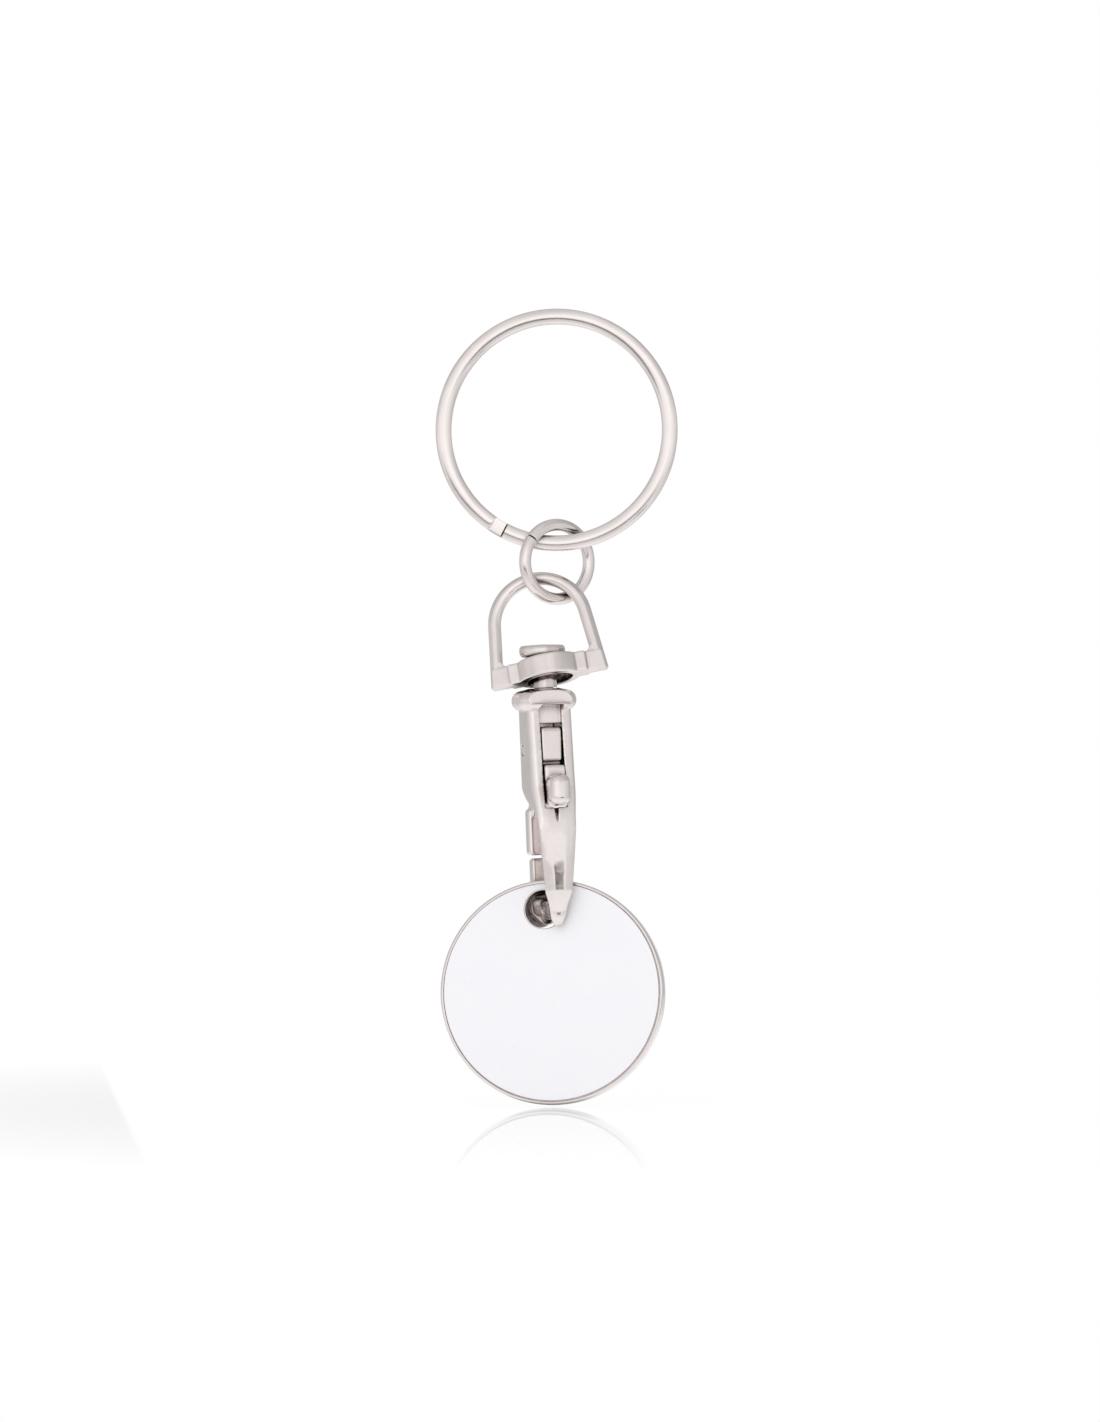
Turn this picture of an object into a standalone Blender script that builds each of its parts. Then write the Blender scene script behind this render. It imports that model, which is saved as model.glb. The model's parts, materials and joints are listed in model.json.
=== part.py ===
"""Coin holder keyring: a split ring, a jump ring and a swivel trigger hook with a drilled trolley token.

Blender 4.5, metres, +Z up. The origin is the inner top of the split ring, where whatever holds the
keyring up touches it, and everything hangs down from there along -Z. The split ring lies in the XZ
plane. In the hook's own frame +X is its right side, +Y its back, where the gate is, and -Z is down
from the top of its collar.
"""

import math

import bmesh
import bpy
from mathutils import Matrix, Vector

MM = 0.001
DEGREE = math.pi / 180

# Split ring: one strip of spring wire wound into two turns
RING_INNER_RADIUS = 10.95 * MM
RING_WIRE_WIDTH = 1.62 * MM
RING_WIRE_THICKNESS = 0.50 * MM
RING_CROWN = 0.26 * MM
RING_TURN_GAP = 0.42 * MM
RING_END_ANGLE = 243 * DEGREE
RING_CROSSOVER_ANGLE = 8 * DEGREE
RING_REAR_SWEEP = 350 * DEGREE
RING_STEP_ANGLE = 6 * DEGREE
RING_CROSSOVER_STEPS = 4
RING_GAP_SAMPLES = 16

# Jump ring between the split ring and the swivel loop
JUMP_RADIUS = 3.85 * MM
JUMP_WIRE_DIAMETER = 1.24 * MM
JUMP_SLIT = 0.12 * MM
JUMP_SLIT_ANGLE = 142 * DEGREE
JUMP_YAW = 35 * DEGREE
JUMP_CENTRE_X = 0.05 * MM
JUMP_HANG_PLAY = 0.50 * MM
JUMP_POINTS = 48

# Swivel loop: an arch on a base bar with a round, bored boss
LOOP_ARCH_RADIUS = 4.80 * MM
LOOP_WIRE_WIDTH = 1.34 * MM
LOOP_WIRE_DEPTH = 1.40 * MM
LOOP_ARCH_CENTRE_UP = 4.99 * MM
LOOP_HALF_LENGTH = 6.2 * MM
LOOP_BASE_HEIGHT = 2.15 * MM
LOOP_BASE_DEPTH = 1.36 * MM
LOOP_BAR_REACH_SHARE = 0.4
LOOP_FOOT_LIFT = 0.1 * MM
LOOP_SHOULDER_LENGTH = 8.2 * MM
LOOP_SHOULDER_DEPTH = 2.5 * MM
LOOP_BOSS_RADIUS = 3.05 * MM
LOOP_BORE_RADIUS = 2.38 * MM
LOOP_EDGE_ROUNDING = 0.18 * MM
LOOP_YAW = -3 * DEGREE
LOOP_LEAN = -12 * DEGREE
LOOP_ROLL = -11.2 * DEGREE
LOOP_ARCH_STEPS = 22

# Stud that the hook turns on
STUD_HEAD_RADIUS = 2.42 * MM
STUD_HEAD_HEIGHT = 1.35 * MM
STUD_HEAD_ROUNDING = 0.42 * MM
STUD_HEAD_UNDER_ROUNDING = 0.85 * MM
STUD_SHANK_RADIUS = 1.0 * MM
STUD_NECK_RADIUS = 1.42 * MM
STUD_NECK_HEIGHT = 0.2 * MM
STUD_NECK_TAPER = 0.55 * MM
STUD_HEAD_LIFT = 3.2 * MM
STUD_SOCKET_DEPTH = 1.3 * MM
TURNED_STEPS = 28
STUD_AXIS_OFFSET_X = -0.58 * MM
STUD_AXIS_OFFSET_Y = 0.17 * MM

# Hook body, a cast claw under a round collar
HOOK_YAW = 21 * DEGREE
HOOK_ROLL = -2.2 * DEGREE
COLLAR_RADIUS = 3.43 * MM
COLLAR_HEIGHT = 2.3 * MM
COLLAR_TOP_RADIUS = 1.7 * MM
COLLAR_ROUNDING = 1.05 * MM
COLLAR_FLAT = 2.4 * MM
COLLAR_FLAT_HEIGHT = 1.6 * MM
BODY_HALF_WIDTH = 2.37 * MM
BODY_TOP = 0.9 * MM
BODY_TOP_FRONT = 1.85 * MM
BODY_FRONT = 2.65 * MM
BODY_BACK = 1.75 * MM
CHEEK_STRAIGHT = 10.1 * MM
CHEEK_END = 12.25 * MM
SPINE_FRONT = 3.28 * MM
SPINE_BACK = 2.2 * MM
SPINE_BULGE_DOWN = 14.7 * MM
SPINE_HALF_WIDTH = 2.03 * MM
SPINE_LOW_FRONT = 3.2 * MM
SPINE_LOW_DOWN = 20.85 * MM
SPINE_LOW_HALF_WIDTH = 1.44 * MM
THROAT_CORNER_RADIUS = 0.4 * MM
BEND_TOP = 21.75 * MM
BEND_BOTTOM = 23.85 * MM
TOE_FACET_FRONT = 2.45 * MM
TOE_FACET_DOWN = 23.1 * MM
BEND_TOE_FRONT = 1.75 * MM
BEND_TOE_BOTTOM = 24.55 * MM
BEND_HALF_WIDTH = 0.58 * MM
BEND_HALF_LENGTH = 1.3 * MM
HEEL_BOTTOM = 24.5 * MM
HEEL_SWELL = 0.35 * MM
NOSE_FRONT = 2.3 * MM
NOSE_BACK = 3.75 * MM
NOSE_HALF_WIDTH = 1.22 * MM
NOSE_TOP = 17.6 * MM
NOSE_LOW = 20.8 * MM
NOSE_ROUNDING = 0.22 * MM
SLOT_WIDTH = 2.4 * MM
SLOT_TOP = 3.1 * MM
SLOT_MOUTH_TOP = 3.65 * MM
SLOT_LEDGE_THICKNESS = 0.2 * MM
SLOT_BOTTOM = 12.15 * MM
SLOT_FLOOR_BACK = 12.4 * MM
SLOT_BACK_WALL = 0.6 * MM
SLOT_BACK_WALL_END = 5.2 * MM
POCKET_TOP = 1.7 * MM
POCKET_BOTTOM = 2.7 * MM
POCKET_FLOOR = 1.45 * MM
LEDGE_RECESS = 0.15 * MM
GROOVE_END = 13.95 * MM
GROOVE_WIDTH = 1.2 * MM
GROOVE_DEPTH = 1.4 * MM
CHEEK_BORE_CLEARANCE = 0.06 * MM
CLAW_STEPS = 6

# Trigger: one casting with an upper arm, an eye, a thumb tab and the gate
PIVOT_BACK = 0.7 * MM
PIVOT_DOWN = 6.35 * MM
PIN_RADIUS = 0.5 * MM
PIN_END_INSET = 0.06 * MM
PIN_STEPS = 18
LEVER_WIDTH = 2.0 * MM
LEVER_BORE_CLEARANCE = 0.1 * MM
LEVER_ROUNDING = 0.14 * MM
LEVER_EYE_RADIUS = 1.0 * MM
ARM_TOP = 4.0 * MM
ARM_FRONT = 2.1 * MM
ARM_THICKNESS = 0.9 * MM
ARM_END = 7.35 * MM
NOTCH_DEPTH = 0.3 * MM
TAB_TOP = 8.1 * MM
TAB_ROOT_FRONT = 2.35 * MM
TAB_TIP_FRONT = 5.1 * MM
TAB_TIP_HIGH = 9.8 * MM
TAB_TIP_RADIUS = 0.85 * MM
TAB_BOTTOM = 12.0 * MM
TAB_UNDERSIDE_FRONT = 2.1 * MM
GATE_SHOULDER = 12.45 * MM
GATE_HALF_WIDTH = 1.5 * MM
GATE_GAP = 0.32 * MM
GATE_ROUNDING = 0.35 * MM
GATE_SHANK_SHARE = 0.55

# Closing spring between the upper arm and the back wall
SPRING_WIRE_RADIUS = 0.1 * MM
SPRING_COIL_RADIUS = 0.5 * MM
SPRING_DOWN = 4.55 * MM
SPRING_TURNS = 2
SPRING_POINTS_PER_TURN = 10
SPRING_SEAT_GAP = 0.1 * MM

# Token: a coin-sized blank with a raised rim, a hole and an enamelled inlay on each face
TOKEN_RADIUS = 11.62 * MM
TOKEN_THICKNESS = 2.1 * MM
TOKEN_RIM_WIDTH = 0.32 * MM
TOKEN_CHAMFER = 0.22 * MM
TOKEN_HOLE_RADIUS = 1.98 * MM
TOKEN_HOLE_BRIDGE = 1.02 * MM
TOKEN_HANG_ANGLE = 6.1 * DEGREE
TOKEN_YAW = -4.5 * DEGREE
TOKEN_PITCH = -4.5 * DEGREE
TOKEN_IN_THROAT = 0.16 * MM
TOKEN_SIDE_OFFSET = -0.70 * MM
TOKEN_HOLE_DOWN = 22.9 * MM
INLAY_DEPTH = 0.2 * MM
INLAY_THICKNESS = 0.12 * MM
INLAY_GAP = 0.06 * MM
INLAY_EDGE_GAP = 0.08 * MM
INLAY_HOLE_MARGIN = 0.16 * MM
TOKEN_STEPS = 64
HOLE_STEPS = 24

# Where the loop's bar hangs from the jump ring's lowest wire, and the hook's top from the bar
LOOP_ASIDE = -0.74 * MM
LOOP_FORWARD = -2.04 * MM
LOOP_DROP = 7.35 * MM
HOOK_DROP = 1.92 * MM

# Seats of pieces that are fixed to each other, and how far every cutter passes its wall
SEAT_CLEARANCE = 0.08 * MM
CUT_OVERRUN = 1.0 * MM
WELD_DISTANCE = 0.001 * MM
SMOOTH_ANGLE = 35 * DEGREE

# Sizes and places that follow from the ones above
RING_MEAN_RADIUS = RING_INNER_RADIUS + RING_WIRE_WIDTH / 2
RING_LAYER_Y = (RING_WIRE_THICKNESS + RING_TURN_GAP) / 2
RING_CENTRE = Vector((0, 0, -RING_INNER_RADIUS))
RING_BOTTOM_WIRE = RING_CENTRE - Vector((0, 0, RING_MEAN_RADIUS))
JUMP_WIRE_RADIUS = JUMP_WIRE_DIAMETER / 2
JUMP_CENTRE = RING_BOTTOM_WIRE + Vector(
    (JUMP_CENTRE_X, 0, RING_WIRE_WIDTH / 2 + JUMP_HANG_PLAY + JUMP_WIRE_RADIUS - JUMP_RADIUS)
)
JUMP_BOTTOM_WIRE = JUMP_CENTRE - Vector((0, 0, JUMP_RADIUS))
LOOP_BASE = JUMP_BOTTOM_WIRE + Vector((LOOP_ASIDE, LOOP_FORWARD, -LOOP_DROP))
LOOP_TURN = Matrix.Rotation(LOOP_YAW, 4, "Z") @ Matrix.Rotation(LOOP_LEAN, 4, "X")
LOOP_TURN = LOOP_TURN @ Matrix.Rotation(LOOP_ROLL, 4, "Y")
HOOK_TURN = Matrix.Rotation(HOOK_ROLL, 4, "Y") @ Matrix.Rotation(HOOK_YAW, 4, "Z")
HOOK_AXIS = HOOK_TURN.to_3x3() @ Vector((0, 0, 1))
STUD_IN_BORE = LOOP_BASE + Vector((STUD_AXIS_OFFSET_X, STUD_AXIS_OFFSET_Y, 0))
HOOK_TOP = STUD_IN_BORE - HOOK_AXIS * (HOOK_DROP / HOOK_AXIS.z)
TOKEN_TURN = Matrix.Rotation(TOKEN_YAW, 4, "Z") @ Matrix.Rotation(TOKEN_PITCH, 4, "X")
TOKEN_HOLE_OFFSET = TOKEN_RADIUS - TOKEN_HOLE_RADIUS - TOKEN_HOLE_BRIDGE
TOKEN_HOLE = HOOK_TOP + HOOK_TURN.to_3x3() @ Vector((0, TOKEN_IN_THROAT, -TOKEN_HOLE_DOWN))
TOKEN_HOLE += TOKEN_TURN.to_3x3() @ Vector((TOKEN_SIDE_OFFSET, 0, 0))
SLOT_HALF_WIDTH = SLOT_WIDTH / 2
LEVER_HALF_WIDTH = LEVER_WIDTH / 2


def material(name, colour, roughness, metallic):
    made = bpy.data.materials.new(name)
    made.use_nodes = True
    shader = made.node_tree.nodes["Principled BSDF"]
    shader.inputs["Base Color"].default_value = (*colour, 1)
    shader.inputs["Roughness"].default_value = roughness
    shader.inputs["Metallic"].default_value = metallic
    made.diffuse_color = (*colour, 1)
    return made


def collection(name, rendered=True):
    made = bpy.data.collections.new(name)
    made.hide_render = not rendered
    bpy.context.scene.collection.children.link(made)
    return made


def empty(name, place, turn, parent):
    made = bpy.data.objects.new(name, None)
    made.empty_display_size = RING_WIRE_WIDTH
    KEYRING.objects.link(made)
    made.parent = parent
    made.matrix_world = Matrix.Translation(place) @ turn
    return made


def mesh_object(name, mesh, home, turn=None):
    made = bpy.data.objects.new(name, mesh)
    home.objects.link(made)
    if turn is not None:
        made.matrix_world = turn
    return made


def finish(made, parent, stuff):
    """Hangs a finished piece under its empty, shades it smooth and gives it its material."""
    bpy.context.view_layer.update()
    made.parent = parent
    made.matrix_parent_inverse = Matrix()
    made.data.materials.clear()
    made.data.materials.append(stuff)
    made.data.shade_smooth()
    made.data.set_sharp_from_angle(angle=SMOOTH_ANGLE)
    return made


def swept(name, rings, home):
    """A closed skin through rings of points, one ring after the other, with a flat cap at each end."""
    mesh = bpy.data.meshes.new(name)
    skin = bmesh.new()
    rows = [[skin.verts.new(point) for point in ring] for ring in rings]
    count = len(rows[0])
    for row, after in zip(rows, rows[1:]):
        for i in range(count):
            j = (i + 1) % count
            skin.faces.new((row[i], row[j], after[j], after[i]))
    skin.faces.new(rows[0][::-1])
    skin.faces.new(rows[-1])
    bmesh.ops.recalc_face_normals(skin, faces=skin.faces)
    skin.to_mesh(mesh)
    skin.free()
    return mesh_object(name, mesh, home)


def turned(name, profile, steps, home):
    """A solid of revolution about Z. The profile runs down its outer side, from axis to axis."""
    mesh = bpy.data.meshes.new(name)
    mesh.from_pydata([(x, 0, z) for x, z in profile], [(i, i + 1) for i in range(len(profile) - 1)], [])
    made = mesh_object(name, mesh, home)
    screw = made.modifiers.new("Turn", "SCREW")
    screw.steps = steps
    screw.render_steps = steps
    screw.use_merge_vertices = True
    screw.merge_threshold = WELD_DISTANCE
    return applied(made)


def extruded(name, outline, low, high, home):
    """A prism whose outline lies in the YZ plane and whose sides face -X and +X."""
    return swept(name, [[(x, y, z) for y, z in outline] for x in (low, high)], home)


def cylinder(name, radius, low, high, steps, home, axis="Z"):
    mesh = bpy.data.meshes.new(name)
    shape = bmesh.new()
    bmesh.ops.create_cone(
        shape, cap_ends=True, segments=steps, radius1=radius, radius2=radius, depth=high - low
    )
    bmesh.ops.translate(shape, verts=shape.verts, vec=(0, 0, (low + high) / 2))
    if axis == "X":
        bmesh.ops.rotate(shape, verts=shape.verts, matrix=Matrix.Rotation(math.pi / 2, 3, "Y"))
    if axis == "Y":
        bmesh.ops.rotate(shape, verts=shape.verts, matrix=Matrix.Rotation(-math.pi / 2, 3, "X"))
    shape.to_mesh(mesh)
    shape.free()
    return mesh_object(name, mesh, home)


def box(name, low, high, home):
    low, high = Vector(low), Vector(high)
    mesh = bpy.data.meshes.new(name)
    shape = bmesh.new()
    bmesh.ops.create_cube(shape, size=1)
    bmesh.ops.scale(shape, verts=shape.verts, vec=high - low)
    bmesh.ops.translate(shape, verts=shape.verts, vec=(low + high) / 2)
    shape.to_mesh(mesh)
    shape.free()
    return mesh_object(name, mesh, home)


def applied(made):
    """The object with its modifiers applied to its own mesh."""
    bpy.context.view_layer.update()
    mesh = bpy.data.meshes.new_from_object(made.evaluated_get(bpy.context.evaluated_depsgraph_get()))
    made.modifiers.clear()
    made.data = mesh
    return made


def rounded(made, width, segments=2, limit=40 * DEGREE):
    """Rounds the edges that are sharper than the limit."""
    bevel = made.modifiers.new("Round", "BEVEL")
    bevel.width = width
    bevel.segments = segments
    bevel.limit_method = "ANGLE"
    bevel.angle_limit = limit
    bevel.use_clamp_overlap = True
    return applied(made)


def boolean(made, other, operation):
    other.display_type = "WIRE"
    other.hide_render = True
    step = made.modifiers.new(f"{operation} {other.name}", "BOOLEAN")
    step.operation = operation
    step.object = other
    step.solver = "EXACT"


def cut(made, *cutters):
    for cutter in cutters:
        boolean(made, cutter, "DIFFERENCE")


def join(made, *others):
    for other in others:
        boolean(made, other, "UNION")


def arc_points(centre, radius, start, stop, count):
    """Points of an arc in a plane, from the start angle to the stop angle."""
    steps = [start + (stop - start) * i / (count - 1) for i in range(count)]
    return [(centre[0] + radius * math.cos(a), centre[1] + radius * math.sin(a)) for a in steps]


def smooth_step(share):
    return share * share * (3 - 2 * share)


def mix(a, b, share):
    return a + (b - a) * share


def strip_section(crown_front, crown_back):
    """Outwards is +r and the strip's thickness runs along y. Each face has its own crown."""
    half_width, half_thickness = RING_WIRE_WIDTH / 2, RING_WIRE_THICKNESS / 2
    width_shares = (1, 0.62, 0, -0.62, -1)
    front = [
        (half_width * w, -half_thickness + crown_front * w * w) for w in width_shares
    ]
    back = [
        (half_width * w, half_thickness - crown_back * w * w) for w in reversed(width_shares)
    ]
    return front + back


def ring_section(turn):
    """The strip's cross-section where it has turned this far from its cut end."""
    front_sweep = 2 * math.pi - RING_CROSSOVER_ANGLE
    angle = RING_END_ANGLE + turn
    share = smooth_step(min(1, max(0, (turn - front_sweep) / RING_CROSSOVER_ANGLE)))
    y = mix(-RING_LAYER_Y, RING_LAYER_Y, share)
    section = strip_section(mix(RING_CROWN, 0, share), mix(0, RING_CROWN, share))
    outwards = Vector((math.cos(angle), 0, math.sin(angle)))
    return [outwards * (RING_MEAN_RADIUS + r) + Vector((0, y + t, 0)) for r, t in section]


def split_ring():
    """The front turn runs right round from its cut end to the crossover, where it drops to the rear turn."""
    front_sweep = 2 * math.pi - RING_CROSSOVER_ANGLE
    front_steps = round(front_sweep / RING_STEP_ANGLE)
    rear_steps = round(RING_REAR_SWEEP / RING_STEP_ANGLE)
    turns = [front_sweep * i / front_steps for i in range(front_steps)]
    crossing_step = RING_CROSSOVER_ANGLE / RING_CROSSOVER_STEPS
    turns += [front_sweep + crossing_step * i for i in range(RING_CROSSOVER_STEPS)]
    turns += [2 * math.pi + RING_REAR_SWEEP * i / rear_steps for i in range(rear_steps + 1)]
    sample = RING_CROSSOVER_ANGLE / RING_GAP_SAMPLES
    near_the_cut = [sample * i for i in range(-RING_GAP_SAMPLES, RING_GAP_SAMPLES + 1)]
    front = [ring_section(turn) for turn in near_the_cut if turn >= 0]
    crossing = [ring_section(2 * math.pi + turn) for turn in near_the_cut]
    gap = min((a - b).length for one in front for other in crossing for a in one for b in other)
    print(f"split ring: least gap between its turns {gap / MM:.3f} mm")
    made = swept("split_ring", [ring_section(turn) for turn in turns], KEYRING)
    made.location = RING_CENTRE
    return finish(made, ROOT, SPRING_STEEL)


def jump_ring(pivot):
    """An open round ring of wire. Its two ends meet at a slit near the upper left."""
    slit_angle = JUMP_SLIT / JUMP_RADIUS
    start = JUMP_SLIT_ANGLE + slit_angle / 2
    stop = JUMP_SLIT_ANGLE - slit_angle / 2 + 2 * math.pi
    points = [(x, 0, z) for x, z in arc_points((0, 0), JUMP_RADIUS, start, stop, JUMP_POINTS)]
    made = tube("jump_ring", points, JUMP_WIRE_RADIUS, 3)
    made.matrix_world = Matrix.Translation(JUMP_CENTRE - pivot.matrix_world.translation) @ Matrix.Rotation(
        JUMP_YAW, 4, "Z"
    )
    return finish(made, pivot, NICKEL)


def tube(name, points, radius, resolution):
    """A round wire through the points, as a mesh with welded caps."""
    curve = bpy.data.curves.new(name, "CURVE")
    curve.dimensions = "3D"
    curve.bevel_depth = radius
    curve.bevel_resolution = resolution
    curve.use_fill_caps = True
    spline = curve.splines.new("POLY")
    spline.points.add(len(points) - 1)
    for place, point in zip(spline.points, points):
        place.co = (*point, 1)
    guide = bpy.data.objects.new(name + "_path", curve)
    KEYRING.objects.link(guide)
    bpy.context.view_layer.update()
    mesh = bpy.data.meshes.new_from_object(guide.evaluated_get(bpy.context.evaluated_depsgraph_get()))
    bpy.data.objects.remove(guide)
    skin = bmesh.new()
    skin.from_mesh(mesh)
    bmesh.ops.remove_doubles(skin, verts=skin.verts, dist=WELD_DISTANCE)
    bmesh.ops.recalc_face_normals(skin, faces=skin.faces)
    skin.to_mesh(mesh)
    skin.free()
    mesh.name = name
    return mesh_object(name, mesh, KEYRING)


def loop_section():
    """Cross-section of the arch: a blunt ridge runs along its front and its back."""
    half_width, half_depth = LOOP_WIRE_WIDTH / 2, LOOP_WIRE_DEPTH / 2
    corner_shares = ((1, 0.3), (0.3, 0.98), (-0.45, 0.86), (-1, 0.34))
    front = [(half_width * w, -half_depth * d) for w, d in corner_shares]
    return front + [(w, -d) for w, d in reversed(front)]


def swivel_loop(pivot):
    """Arch and splayed legs swept in one, on a base bar whose boss holds the bore for the stud."""
    section = loop_section()
    foot = -LOOP_BASE_HEIGHT / 2
    foot_x = LOOP_HALF_LENGTH - LOOP_WIRE_WIDTH / 2
    rise = LOOP_ARCH_CENTRE_UP - foot
    splay = math.atan2(foot_x, rise) - math.asin(LOOP_ARCH_RADIUS / math.hypot(foot_x, rise))
    path = [(foot_x, foot + LOOP_FOOT_LIFT, splay)]
    for i in range(LOOP_ARCH_STEPS + 1):
        angle = mix(splay, math.pi - splay, i / LOOP_ARCH_STEPS)
        up = LOOP_ARCH_CENTRE_UP + LOOP_ARCH_RADIUS * math.sin(angle)
        path.append((LOOP_ARCH_RADIUS * math.cos(angle), up, angle))
    path.append((-foot_x, foot + LOOP_FOOT_LIFT, math.pi - splay))
    rings = []
    for x, z, angle in path:
        rings.append([(x + w * math.cos(angle), d, z + w * math.sin(angle)) for w, d in section])
    made = swept("swivel_loop", rings, KEYRING)
    low_reach = foot_x + LOOP_WIRE_WIDTH * LOOP_BAR_REACH_SHARE
    top_reach = low_reach - LOOP_BASE_HEIGHT * math.tan(splay)
    front_view = [(-low_reach, foot), (low_reach, foot), (top_reach, -foot), (-top_reach, -foot)]
    depths = (-LOOP_BASE_DEPTH / 2, LOOP_BASE_DEPTH / 2)
    bar = swept("loop_bar", [[(x, y, z) for x, z in front_view] for y in depths], TOOLS)
    shoulder = box(
        "loop_shoulder",
        (-LOOP_SHOULDER_LENGTH / 2, -LOOP_SHOULDER_DEPTH / 2, foot),
        (LOOP_SHOULDER_LENGTH / 2, LOOP_SHOULDER_DEPTH / 2, -foot),
        TOOLS,
    )
    boss = cylinder("loop_boss", LOOP_BOSS_RADIUS, foot, -foot, TURNED_STEPS, TOOLS)
    for piece in (bar, shoulder, boss):
        rounded(piece, LOOP_EDGE_ROUNDING)
    bore = cylinder(
        "loop_bore", LOOP_BORE_RADIUS, foot - CUT_OVERRUN, -foot + CUT_OVERRUN, TURNED_STEPS, TOOLS
    )
    join(made, bar, shoulder, boss)
    cut(made, bore)
    applied(made)
    made.matrix_world = Matrix.Translation(LOOP_BASE - pivot.matrix_world.translation) @ LOOP_TURN
    return finish(made, pivot, NICKEL)


def swivel_stud(hook):
    """Head above the loop's bar, shank through its bore, and a neck that is set into the collar."""
    head_top = STUD_HEAD_LIFT + STUD_HEAD_HEIGHT
    over, under = STUD_HEAD_ROUNDING, STUD_HEAD_UNDER_ROUNDING
    profile = [(0, head_top)]
    profile += arc_points((STUD_HEAD_RADIUS - over, head_top - over), over, math.pi / 2, 0, 4)
    profile += arc_points((STUD_HEAD_RADIUS - under, STUD_HEAD_LIFT + under), under, 0, -math.pi / 2, 5)
    profile += [
        (STUD_SHANK_RADIUS, STUD_HEAD_LIFT),
        (STUD_SHANK_RADIUS, STUD_NECK_HEIGHT + STUD_NECK_TAPER),
        (STUD_NECK_RADIUS, STUD_NECK_HEIGHT),
        (STUD_NECK_RADIUS, SEAT_CLEARANCE),
        (STUD_SHANK_RADIUS, SEAT_CLEARANCE),
        (STUD_SHANK_RADIUS, -STUD_SOCKET_DEPTH),
        (0, -STUD_SOCKET_DEPTH),
    ]
    return finish(turned("swivel_stud", profile, TURNED_STEPS, KEYRING), hook, NICKEL)


def ellipse_point(centre, across, along, share):
    """From the end of the first half axis, at share 0, to the end of the second, at share 1."""
    angle = share * math.pi / 2
    return (centre[0] + across * math.cos(angle), centre[1] + along * math.sin(angle))


def corner_then_straight(corner, across, along, radius, end, share):
    """Round an inner corner over the first half of the share, then straight on to the end."""
    if share < 0.5:
        centre = (corner[0] - across * radius, corner[1] - along * radius)
        return ellipse_point(centre, across * radius, along * radius, 2 * share)
    start = corner[0] - across * radius
    return (mix(start, end, 2 * share - 1), corner[1])


def toe_point(share):
    """Down the flat facet at the claw's front, then round its toe."""
    facet_share = 0.5
    facet_end = (-TOE_FACET_FRONT, -TOE_FACET_DOWN)
    if share < facet_share:
        along = share / facet_share
        return (
            mix(-SPINE_LOW_FRONT, facet_end[0], along),
            mix(-SPINE_LOW_DOWN, facet_end[1], along),
        )
    centre = (-BEND_TOE_FRONT, -TOE_FACET_DOWN)
    return ellipse_point(
        centre,
        BEND_TOE_FRONT - TOE_FACET_FRONT,
        TOE_FACET_DOWN - BEND_TOE_BOTTOM,
        (share - facet_share) / (1 - facet_share),
    )


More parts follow.
